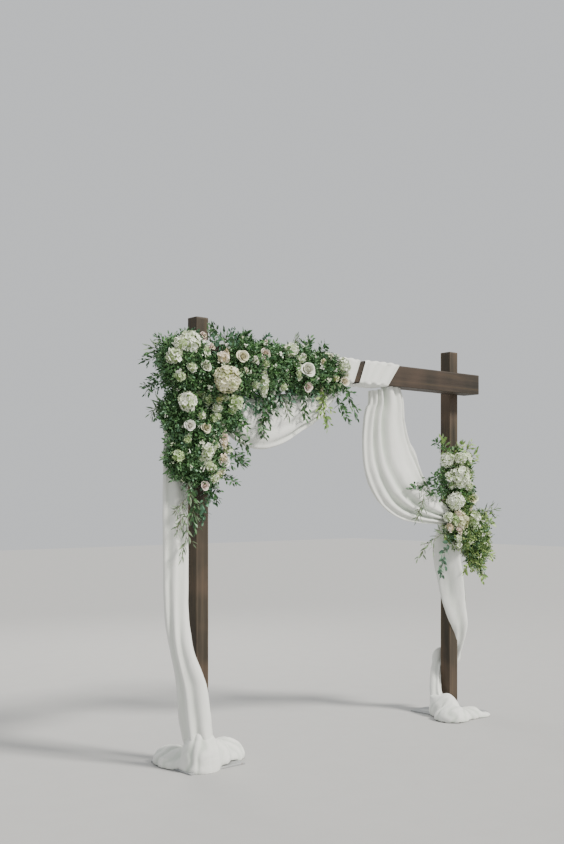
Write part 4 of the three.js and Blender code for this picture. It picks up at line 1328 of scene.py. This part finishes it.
def heap_object(node, fall, join_at, dome):
    """Cloth heaped on the floor, and the end of the length that falls into it, as one
    crumpled skin that is open below."""
    heap = merged_copy(node, f"{node}_skin")
    if dome:
        centre, radii = dome
        top = ball_object(f"{node}_dome", from_posts(centre), Vector(radii), 0.0)
    else:
        top = end_of(fall, join_at)
    obj = joined(f"{node}_skin", [heap, top])
    remesh = obj.modifiers.new("even", "REMESH")
    remesh.mode = "VOXEL"
    remesh.voxel_size = HEAP_CELL
    smooth = obj.modifiers.new("soft", "SMOOTH")
    smooth.factor = 0.5
    smooth.iterations = HEAP_SMOOTHING
    obj = evaluated_copy(obj, f"{node}_skin")
    mesh = obj.data
    low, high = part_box(node)
    middle = (low + high) / 2
    folds = []
    normals = [v.normal.copy() for v in mesh.vertices]
    for vertex, normal in zip(mesh.vertices, normals):
        long_fold, creases = crumple(vertex.co, middle)
        puff = noise.noise(vertex.co * 9 + Vector((2, 6, 1)))
        # Depth of the long folds and creases, which the chiffon's finish paints as shade
        folds.append(min(1, 0.7 * long_fold + 0.3 * creases))
        lift = min(1, vertex.co.z / 0.03, max(0, join_at - vertex.co.z) / 0.05)
        push = 0.006 + 0.006 * puff - 0.007 * long_fold - 0.0015 * creases
        vertex.co += normal * push * (0.3 + 0.7 * lift)
        vertex.co.z = max(vertex.co.z, 0.0006)
    set_values(mesh, "fold", folds)
    with edited(mesh) as shape:
        under = [f for f in shape.faces if f.normal.z < -0.6 and f.calc_center_median().z < 0.03]
        bmesh.ops.delete(shape, geom=under, context="FACES")
    mesh.polygons.foreach_set("use_smooth", [True] * len(mesh.polygons))
    weave = mesh.uv_layers.new(name="weave")
    for loop in mesh.loops:
        out = mesh.vertices[loop.vertex_index].co - middle
        reach = math.hypot(out.x, out.y)
        weave.data[loop.index].uv = (0.12 * math.atan2(out.y, abs(out.x)), reach - out.z)
    return obj


def grid_object(name, grid, folds):
    """A sheet from a grid of points, with its folds and its weave in metres along and across."""
    rows, columns = grid.shape[:2]
    obj = mesh_object(name, grid.reshape(-1, 3), grid_faces(rows, columns))
    set_values(obj.data, "fold", folds.reshape(-1))
    along = np.zeros((rows, columns))
    along[1:] = np.cumsum(np.linalg.norm(np.diff(grid, axis=0), axis=-1).mean(axis=1))[:, None]
    across = np.zeros((rows, columns))
    across[:, 1:] = np.cumsum(np.linalg.norm(np.diff(grid, axis=1), axis=-1).mean(axis=0))[None]
    weave = obj.data.uv_layers.new(name="weave")
    flat = np.stack([across, along], axis=-1).reshape(-1, 2)
    corners = np.zeros(len(obj.data.loops), dtype=np.int32)
    obj.data.loops.foreach_get("vertex_index", corners)
    weave.data.foreach_set("uv", flat[corners].reshape(-1).astype(np.float32))
    return obj


def hem_object(name, line):
    """A narrow rolled hem along an edge of the cloth."""
    directions = unit(np.gradient(line, axis=0))
    first = unit(np.cross(directions, [0.3, 0.9, 0.2]))
    second = np.cross(directions, first)
    verts = []
    for place, a_axis, b_axis in zip(line, first, second):
        for side in range(HEM_SIDES):
            a = 2 * math.pi * side / HEM_SIDES
            verts.append(place + HEM * (math.cos(a) * a_axis + math.sin(a) * b_axis))
    obj = closed_solid(name, verts, tube_faces(len(line), HEM_SIDES))
    # The hem gets a fixed share of the painted fold shade
    set_values(obj.data, "fold", [0.3] * len(verts))
    obj.data.uv_layers.new(name="weave")
    return obj


class ARCH_OT_cloth(bpy.types.Operator):
    """Make the chiffon: its falls, swag and sweep, the bands round the beam and the heaps"""

    bl_idname = "arch.make_cloth"
    bl_label = "Chiffon"

    def execute(self, context):
        settings = context.scene.arch_cloth
        parts, hems = [], []
        for name, plan in HANGING.items():
            grid, folds = hanging_grid(plan, settings.width, settings.cell)
            parts.append(grid_object(f"{name}_sheet", grid, folds))
            hems += [hem_object(f"{name}_hem", grid[:, edge]) for edge in (0, -1)]
        for name, (top, low) in BANDS.items():
            grid, folds = band_grid(top, low, settings.cell)
            parts.append(grid_object(f"{name}_sheet", grid, folds))
        parts += [heap_object(node, *heap) for node, heap in HEAPS.items()]
        chiffon = cached(chiffon_finish)
        drape = joined("chiffon_drape", parts)
        place_piece(drape, "chiffon", *HANGING, *BANDS, *HEAPS, material=chiffon)
        hem = joined("chiffon_hem", hems)
        place_piece(hem, "chiffon", material=chiffon)
        return {"FINISHED"}


# Greenery

def leaf_object(kind):
    """One leaf, from its foot at the origin up along Z, folded at its rib and curled back."""
    (length, width), count = LEAF_KINDS[kind]["leaf"], LEAF_KINDS[kind]["rows"]
    verts = [(0, 0, 0)]
    curl = LEAF_CURL * length
    for row in range(1, count + 1):
        t = row / (count + 1)
        half = width / 2 * math.sin(math.pi * t**0.8) ** 0.8
        verts += [(x, curl * t**2 - LEAF_FOLD * abs(x), t * length) for x in (-half, 0, half)]
    verts.append((0, curl, length))
    tip = len(verts) - 1
    faces = [(0, 2, 1), (0, 3, 2)]
    faces += [(a, a + 1, a + 4, a + 3) for row in range(count - 1) for a in (3 * row + 1, 3 * row + 2)]
    faces += [(tip - 3, tip - 2, tip), (tip - 2, tip - 1, tip)]
    return mesh_object(f"{kind}_leaf", verts, faces)


def curve_object(name, lines):
    """A curve object with one spline for each line of points."""
    data = bpy.data.curves.new(name, "CURVE")
    data.dimensions = "3D"
    for line in lines:
        spline = data.splines.new("POLY")
        spline.points.add(len(line) - 1)
        for point, place in zip(spline.points, line):
            point.co = (*place, 1)
    return linked(name, data)


def arched(start, stop, sag, bow):
    """A bent stem from start to stop: it sags in the middle, or bows to one side."""
    start, stop = Vector(start), Vector(stop)
    side = (stop - start).cross(Vector((0, -1, 0)))
    side = side.normalized() if side.length > 1e-6 else Vector((1, 0, 0))
    line = []
    for i in range(13):
        t = i / 12
        push = 4 * t * (1 - t)
        line.append(start.lerp(stop, t) + push * (Vector((0, 0, -sag)) + bow * side))
    return line


def shoots(line, first_side):
    """A stem and the side shoots that leave it in turn."""
    lines = [line]
    for number, place in enumerate(SHOOTS_AT):
        index = round(place * (len(line) - 1))
        ahead = (line[index + 1] - line[index - 1]).normalized()
        side = ahead.cross(Vector((0.25, -1, 0.15))).normalized() * (-1) ** (number + first_side)
        reach = min(0.10, 0.45 * (line[-1] - line[index]).length + 0.015)
        stop = line[index] + reach * (ahead + 0.8 * side + Vector((0, -0.25, -0.2))).normalized()
        lines.append(arched(line[index], stop, 0.0, 0.08 * reach))
    return lines


def exposed_surface(node, masses, solids, blooms):
    """The faces of an arrangement's masses that look out, with how much room there is."""
    obj = merged_copy(node, f"{node}_surface")
    with edited(obj.data) as shape:
        for _ in range(2):
            long_edges = [e for e in shape.edges if e.calc_length() > COVER_CELL]
            bmesh.ops.subdivide_edges(shape, edges=long_edges, cuts=1)
            bmesh.ops.triangulate(shape, faces=shape.faces)
        hidden = []
        for face in shape.faces:
            centre = face.calc_center_median()
            near = any(tree.find_nearest(centre, TOUCHING)[0] is not None for tree in solids + blooms)
            if near or on_sprig(centre, masses):
                hidden.append(face)
        bmesh.ops.delete(shape, geom=hidden, context="FACES")
        room = []
        for vert in shape.verts:
            gaps = [tree.find_nearest(vert.co, BLOOM_SEARCH)[3] for tree in blooms]
            gap = min([g for g in gaps if g is not None], default=BLOOM_SEARCH)
            room.append(min(1.0, max(0.0, (gap - 0.002) / CLEAR_OF_BLOOM)))
    set_values(obj.data, "room", room)
    return obj


def on_sprig(point, masses):
    """Whether a point is on a sprig, outside the masses."""
    return min(
        math.sqrt(
            ((point.x - x) / rx) ** 2 + ((point.y - POST_LINE - y) / ry) ** 2
            + ((point.z - z) / rz) ** 2)
        for (x, y, z), (rx, ry, rz) in masses
    ) > SPRIG_FROM


def core_object(node, masses):
    """The arrangement's inside, for the painted shade between its leaves: its masses drawn in and
    roughened, without its sprigs.
    """
    obj = merged_copy(node, f"{node}_core")
    with edited(obj.data) as shape:
        sprigs = [face for face in shape.faces if on_sprig(face.calc_center_median(), masses)]
        bmesh.ops.delete(shape, geom=sprigs, context="FACES")
        bmesh.ops.holes_fill(shape, edges=shape.edges[:], sides=0)
        shape.normal_update()
        for vert in shape.verts:
            vert.co -= vert.normal * (0.010 + 0.006 * noise.noise(vert.co * 30))
    return obj


def solid_tree(node):
    """A search tree over a CAD node's faces."""
    mesh = frame["nodes"][node].data
    return BVHTree.FromPolygons(
        [v.co.copy() for v in mesh.vertices], [tuple(p.vertices) for p in mesh.polygons])


class ARCH_OT_greenery(bpy.types.Operator):
    """Make the leafy twigs and long sprigs of every arrangement"""

    bl_idname = "arch.make_greenery"
    bl_label = "Greenery"

    def execute(self, context):
        settings = context.scene.arch_greenery
        leaves = {kind: leaf_object(kind) for kind in LEAF_KINDS}
        twigs = {}
        for index, (kind, form) in enumerate(LEAF_KINDS.items()):
            stem = curve_object(f"{kind}_line", [arched((0, 0, 0), (0, 0, form["twig"]), 0, TWIG_BOW)])
            twigs[kind] = leafy(
                f"{kind}_twig", stem, kind, leaves[kind], 1.0, TWIG_STEM, settings.seed + index)
        filler = self.filler_spray(settings.seed)
        solids = [solid_tree(node) for node in [*TIMBER, *BANDS, *HANGING]]
        blooms = [solid_tree(node) for node in BLOOMS]
        for number, (node, plan) in enumerate(GREENERY.items()):
            seed = settings.seed + SEED_STEP * number
            surface = exposed_surface(node, plan["masses"], solids, blooms)
            parts = []
            for offset, (kind, spacing) in enumerate(plan["cover"]):
                parts.append(scattered(
                    f"{node}_{kind}", twin(surface), twigs[kind], cached(leaf_finish, kind), "twigs",
                    spacing * settings.spread, TWIG_SINK * LEAF_KINDS[kind]["twig"], seed + offset))
            parts += self.long_sprigs(node, plan["sprigs"], leaves, seed)
            parts.append(scattered(
                f"{node}_filler", twin(surface), filler, cached(petal_finish, "white_bloom"), "filler",
                FILLER_STEP, -FILLER_RISE, seed + 9))
            set_values(surface.data, "room", [1.0] * len(surface.data.vertices))
            tuft = "tuft" if SLOT_OF[node] == "leaves" else "fine_tuft"
            parts.append(scattered(
                f"{node}_tufts", surface, twigs[tuft], cached(leaf_finish, tuft), "tufts",
                TUFT_STEP * settings.spread, TUFT_SINK, seed + 12))
            # A dark core between the leaves, as painted shade
            core = core_object(node, plan["masses"])
            core.data.materials.append(cached(painted_shade_finish))
            parts.append(core)
            place_piece(joined(f"{node}_leaves", parts), SLOT_OF[node], node)
        for helper in [*leaves.values(), *twigs.values(), filler]:
            removed(helper)
        return {"FINISHED"}

    def filler_spray(self, seed):
        """A few very small flowers on one stem."""
        floret = floret_object("filler")
        made = []
        for number in range(5):
            turn = number * GOLDEN_TURN + seed
            aside = 0.005 + 0.0035 * number
            place = Vector((aside * math.cos(turn), aside * math.sin(turn), 0.022 - 0.9 * aside))
            lean = Matrix.Rotation(0.09 * number, 4, Vector((-math.sin(turn), math.cos(turn), 0)))
            one = twin(floret)
            one.data.transform(Matrix.Translation(place) @ lean @ Matrix.Scale(1 - 0.08 * number, 4))
            made.append(one)
        removed(floret)
        return joined("filler_spray", made)

    def long_sprigs(self, node, sprigs, leaves, seed):
        """The sprigs that reach out of an arrangement, each one an object."""
        made = []
        for number, (start, stop, kind, size) in enumerate(sprigs):
            start, stop = from_posts(start), from_posts(stop)
            long = (stop - start).length
            level = 1 - abs((stop - start).normalized().z)
            line = arched(start, stop, -0.10 * long * level, 0.05 * long * (-1) ** number)
            stems = curve_object(f"{node}_line", shoots(line, number))
            made.append(leafy(
                f"{node}_sprig_{number}", stems, kind, leaves[kind], size, STEM, seed + number))
        return made


# Blooms

def floret_object(kind):
    """A small flower of rounded petals that faces up Z, with its heart marked for a deeper colour, partly
    its own and partly painted shade.
    """
    petals, radius, width, cup = FLORETS[kind]
    verts, faces, heart_and_shade = [], [], []
    for petal in range(petals):
        turn = Matrix.Rotation(2 * math.pi * petal / petals, 3, "Z")
        tilt = 0.0012 * (petal % 2)
        base = len(verts)
        for x, y, rise in PETAL_OUTLINE:
            verts.append(turn @ Vector((x * width, y * radius, tilt + cup * rise)))
            heart_and_shade.append(1.0 if y == 0 else 0.25 if rise == 0.5 else 0.0)
        middle = len(verts)
        verts.append(turn @ Vector((0, 0.55 * radius, tilt + 0.2 * cup)))
        heart_and_shade.append(0.3)
        for a, b in ((0, 4), (4, 3), (3, 5), (5, 2), (2, 1), (1, 0)):
            faces.append((base + a, base + b, middle))
    obj = mesh_object(f"{kind}_floret", verts, faces)
    set_values(obj.data, "heart_and_shade", heart_and_shade)
    return obj


def rose_object(name, centre, radius, petals, turn, finish, cells=6, facing=BLOOM_FACING):
    """A rose of nested petals, each a grid of cells, with the feet of its petals marked for a deeper
    colour, partly its own and partly painted shade.
    """
    verts, faces, heart_and_shade = [], [], []
    steps = range(cells + 1)
    for index in range(petals):
        t = index / (petals - 1)
        rim = radius * (0.13 + 0.72 * t)
        foot, top = -0.5 * radius, radius * (0.58 - 0.40 * t**1.5)
        curl = radius * 0.27 * t**1.3
        angle = index * GOLDEN_TURN + turn
        spread = math.radians(100 - 46 * t)
        wave = 0.5 + 0.5 * math.sin(7.1 * index + turn)

        def place(across, up):
            rise = up * (1 - (0.12 + 0.10 * wave) * across**2)
            swell = math.sin(0.5 * math.pi * min(1, 1.25 * rise)) ** 0.7
            lip = max(0.0, rise - 0.72) / 0.28
            reach = rim * swell * (1 - 0.30 * (1 - t) * rise**2) + curl * lip**1.6
            reach += (0.03 + 0.05 * t) * radius * across * (-1) ** index
            height = foot + (top - foot + 0.06 * radius * wave) * rise - 0.9 * curl * lip**2
            height += 0.03 * radius * math.sin(5 * across + 2.3 * index) * up
            a = angle + across * spread * (0.3 + 0.7 * math.sin(0.5 * math.pi * min(1, 1.5 * up)))
            return Vector((reach * math.cos(a), reach * math.sin(a), height))

        base = len(verts)
        verts += [place(2 * j / cells - 1, i / cells) for i in steps for j in steps]
        faces += [tuple(base + i for i in quad) for quad in grid_faces(cells + 1, cells + 1)]
        # Deeper toward each petal's foot: partly the rose's own colour, partly painted shade in the
        # crevices
        heart_and_shade += [0.12 * (1 - t) + 0.85 * (1 - i / cells) ** 1.6 for i in steps for _ in steps]
    reach = max(math.hypot(v.x, v.y) for v in verts)
    face = facing.to_track_quat("Z", "Y").to_matrix()
    obj = mesh_object(name, [centre + face @ (v * radius / reach) for v in verts], faces)
    set_values(obj.data, "heart_and_shade", heart_and_shade)
    set_values(obj.data, "twig_tint", [0.3 + 0.7 * (7 * turn % 1)] * len(verts))
    obj.data.materials.append(finish)
    return obj


def ball_object(name, centre, radii, roughness=0.16):
    """A slightly lumpy ball that florets are scattered over."""
    mesh = bpy.data.meshes.new(name)
    with edited(mesh) as shape:
        bmesh.ops.create_icosphere(shape, subdivisions=3, radius=1.0)
        for vert in shape.verts:
            lump = 1 + roughness * noise.noise(vert.co * 2.2 + centre * 9)
            vert.co = centre + Vector(a * b * lump for a, b in zip(vert.co, radii))
    return linked(name, mesh)


def flowered(name, ball, floret, finish, spacing, seed):
    """Florets all over a ball, with the ball itself drawn in and given the deep heart colour as painted
    shade between them.
    """
    inner = twin(ball)
    corners = np.array([v.co for v in inner.data.vertices])
    middle = Vector((corners.min(axis=0) + corners.max(axis=0)) / 2)
    inner.data.transform(
        Matrix.Translation(middle) @ Matrix.Scale(INNER, 4) @ Matrix.Translation(-middle))
    # Painted shade: the inner ball takes the deep heart colour
    set_values(inner.data, "heart_and_shade", [0.95] * len(corners))
    inner.data.materials.append(finish)
    set_values(ball.data, "room", [1.0] * len(corners))
    florets = scattered(name, ball, floret, finish, "florets", spacing, FLORET_SINK, seed)
    return joined(name, [florets, inner])


def bloom_heads(kind, nodes, spacing):
    """Heads that are crowded all over with florets, one for each node."""
    floret = floret_object(kind)
    for number, node in enumerate(nodes):
        low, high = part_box(node)
        ball = ball_object(f"{node}_ball", (low + high) / 2, (high - low) / 2 - FLORET_RISE)
        finish = cached(petal_finish, SLOT_OF[node])
        name = f"{node}_spike" if kind == "stock" else f"{node}_head"
        head = flowered(name, ball, floret, finish, spacing, FIRST_SEEDS[kind] + number)
        place_piece(head, SLOT_OF[node], node)
    removed(floret)


class ARCH_OT_hydrangeas(bpy.types.Operator):
    """Make the hydrangea heads of four-petalled florets"""

    bl_idname = "arch.make_hydrangeas"
    bl_label = "Hydrangeas"

    def execute(self, context):
        bloom_heads("hydrangea", HYDRANGEAS, context.scene.arch_blooms.floret)
        return {"FINISHED"}


class ARCH_OT_roses(bpy.types.Operator):
    """Make the roses, each of wound and opened petals"""

    bl_idname = "arch.make_roses"
    bl_label = "Roses"

    def execute(self, context):
        petals = context.scene.arch_blooms.petals
        for number, node in enumerate(ROSES):
            low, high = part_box(node)
            finish = cached(petal_finish, SLOT_OF[node], "rose")
            obj = rose_object(
                f"{node}_petals", (low + high) / 2, (high.z - low.z) / 2, petals, 1.3 * number, finish)
            place_piece(obj, SLOT_OF[node], node)
        return {"FINISHED"}


class ARCH_OT_stock(bpy.types.Operator):
    """Make the stock: small flowers crowded round an upright spike"""

    bl_idname = "arch.make_stock"
    bl_label = "Stock"

    def execute(self, context):
        bloom_heads("stock", SPIKES, STOCK_STEP)
        return {"FINISHED"}


class ARCH_OT_small_flowers(bpy.types.Operator):
    """Make the small flowers between the blooms: spray roses, wax flowers and short stock"""

    bl_idname = "arch.make_small_flowers"
    bl_label = "Small flowers"

    def execute(self, context):
        floret = floret_object("small")
        for name, flowers in SMALL_FLOWERS.items():
            parts = []
            for number, (kind, colour, x, y, z, radius) in enumerate(flowers):
                centre = from_posts((x, y, z)) + SMALL_OUT * BLOOM_FACING
                title, slot = f"{name}_{number}", f"{colour}_bloom"
                if kind in SMALL_SHAPES:
                    radii = Vector((radius, 0.8 * radius, SMALL_SHAPES[kind] * radius))
                    ball = ball_object(f"{name}_ball", centre, radii - FLORET_RISE / 2, 0.3)
                    seed = FIRST_SEEDS["small"] + number
                    parts.append(flowered(
                        title, ball, floret, cached(petal_finish, slot), SMALL_STEP, seed))
                    continue
                finish = cached(petal_finish, slot, "rose")
                if kind == "rose":
                    parts.append(rose_object(
                        title, centre, radius, LONE_ROSE_PETALS, number, finish, 5))
                else:
                    parts += self.spray(title, centre, radius, finish, number)
            place_piece(joined(name, parts), "white_bloom")
        removed(floret)
        return {"FINISHED"}

    def spray(self, name, centre, radius, finish, seed):
        """Three or four small roses on one stem."""
        made = []
        for bud in range(3 + seed % 2):
            turn = bud * GOLDEN_TURN + seed
            aside = Vector((math.cos(turn), 0.2, math.sin(turn))) * radius * (0.62 if bud else 0)
            size = radius * (0.62 if bud == 0 else 0.48)
            facing = (BLOOM_FACING + aside / radius * 0.7).normalized()
            made.append(rose_object(
                f"{name}_{bud}", centre + aside, size, BUD_PETALS, turn, finish, 3, facing))
        return made


# Floor, light and camera

CAMERA_AT = (-4.8185, -4.9395, 1.562)
CAMERA_TURN = 40.985  # degrees to the right of straight on
LENS = 44.79
SHIFT_UP = 0.0899
FLOOR_REACH = 24
SKY_STRENGTH = 0.78
SUN_STRENGTH = 5.4
SUN_FROM = Vector((2.2, -4.8, 5.0))
SUN_SPREAD = math.radians(12)
BACK_LIGHT_AT = Vector((1.5, 5.2, 4.6))
BACK_LIGHT_SIZE = 3.5
BACK_LIGHT_POWER = 160
ARCH_MIDDLE = Vector((0, 0, 1.4))


class ARCH_OT_stage(bpy.types.Operator):
    """Make the studio: a pale floor, soft light and the camera at the photograph's angle"""

    bl_idname = "arch.make_stage"
    bl_label = "Stage"

    def execute(self, context):
        settings = context.scene.arch_stage
        corners = [(x * FLOOR_REACH, y * FLOOR_REACH, 0) for x, y in ((-1, -1), (1, -1), (1, 1), (-1, 1))]
        floor = mesh_object("studio_floor", corners, [(0, 1, 2, 3)], smooth=False)
        finish = Finish("studio_floor", roughness=0.85)
        speckle = finish.noise(finish.object_place(), 6, 4)
        base = tuple(settings.floor)
        darker = tuple(0.97 * c for c in base)
        colour = finish.ramp(speckle, (0.3, darker), (0.7, base))
        floor.data.materials.append(finish.done(colour))
        world = bpy.data.worlds.new("studio")
        world.use_nodes = True
        sky = world.node_tree.nodes["Background"]
        sky.inputs["Color"].default_value = (*settings.backdrop, 1)
        sky.inputs["Strength"].default_value = SKY_STRENGTH
        context.scene.world = world
        sun = bpy.data.lights.new("key", "SUN")
        sun.energy = SUN_STRENGTH
        sun.angle = SUN_SPREAD
        sun.color = (1.0, 0.96, 0.90)
        linked("key", sun).rotation_euler = SUN_FROM.to_track_quat("Z", "Y").to_euler()
        back = bpy.data.lights.new("back", "AREA")
        back.size = BACK_LIGHT_SIZE
        back.energy = BACK_LIGHT_POWER
        back.color = (1.0, 0.97, 0.92)
        light = linked("back", back)
        light.location = BACK_LIGHT_AT
        light.rotation_euler = (ARCH_MIDDLE - BACK_LIGHT_AT).to_track_quat("-Z", "Y").to_euler()
        data = bpy.data.cameras.new("camera")
        data.sensor_width = 36
        data.lens = LENS
        data.shift_y = SHIFT_UP
        camera = linked("camera", data)
        camera.location = CAMERA_AT
        camera.rotation_euler = (math.pi / 2, 0, -math.radians(CAMERA_TURN))
        context.scene.camera = camera
        return {"FINISHED"}


SETTINGS = {
    "arch_timber": TimberSettings,
    "arch_steel": SteelSettings,
    "arch_cloth": ClothSettings,
    "arch_greenery": GreenerySettings,
    "arch_blooms": BloomSettings,
    "arch_stage": StageSettings,
}
OPERATORS = [
    ARCH_OT_timber, ARCH_OT_plates, ARCH_OT_bolts, ARCH_OT_cloth, ARCH_OT_greenery,
    ARCH_OT_hydrangeas, ARCH_OT_roses, ARCH_OT_stock, ARCH_OT_small_flowers, ARCH_OT_stage,
]


class ARCH_PT_panel(bpy.types.Panel):
    """Lists the arch's pieces and their settings"""

    bl_idname = "ARCH_PT_panel"
    bl_label = "Floral arch"
    bl_space_type = "VIEW_3D"
    bl_region_type = "UI"
    bl_category = "Floral arch"

    def draw(self, context):
        for operator in OPERATORS:
            self.layout.operator(operator.bl_idname)
        for name, group in SETTINGS.items():
            box = self.layout.box()
            for key in group.__annotations__:
                box.prop(getattr(context.scene, name), key)


def register():
    for name, group in SETTINGS.items():
        bpy.utils.register_class(group)
        setattr(bpy.types.Scene, name, bpy.props.PointerProperty(type=group))
    for made in [*OPERATORS, ARCH_PT_panel]:
        bpy.utils.register_class(made)


def unregister():
    for made in [ARCH_PT_panel, *reversed(OPERATORS)]:
        bpy.utils.unregister_class(made)
    for name, group in SETTINGS.items():
        delattr(bpy.types.Scene, name)
        bpy.utils.unregister_class(group)


def main():
    register()
    bpy.ops.arch.make_timber()
    bpy.ops.arch.make_plates()
    bpy.ops.arch.make_bolts()
    bpy.ops.arch.make_cloth()
    bpy.ops.arch.make_greenery()
    bpy.ops.arch.make_hydrangeas()
    bpy.ops.arch.make_roses()
    bpy.ops.arch.make_stock()
    bpy.ops.arch.make_small_flowers()
    bpy.ops.arch.make_stage()


if __name__ == "__main__":
    main()
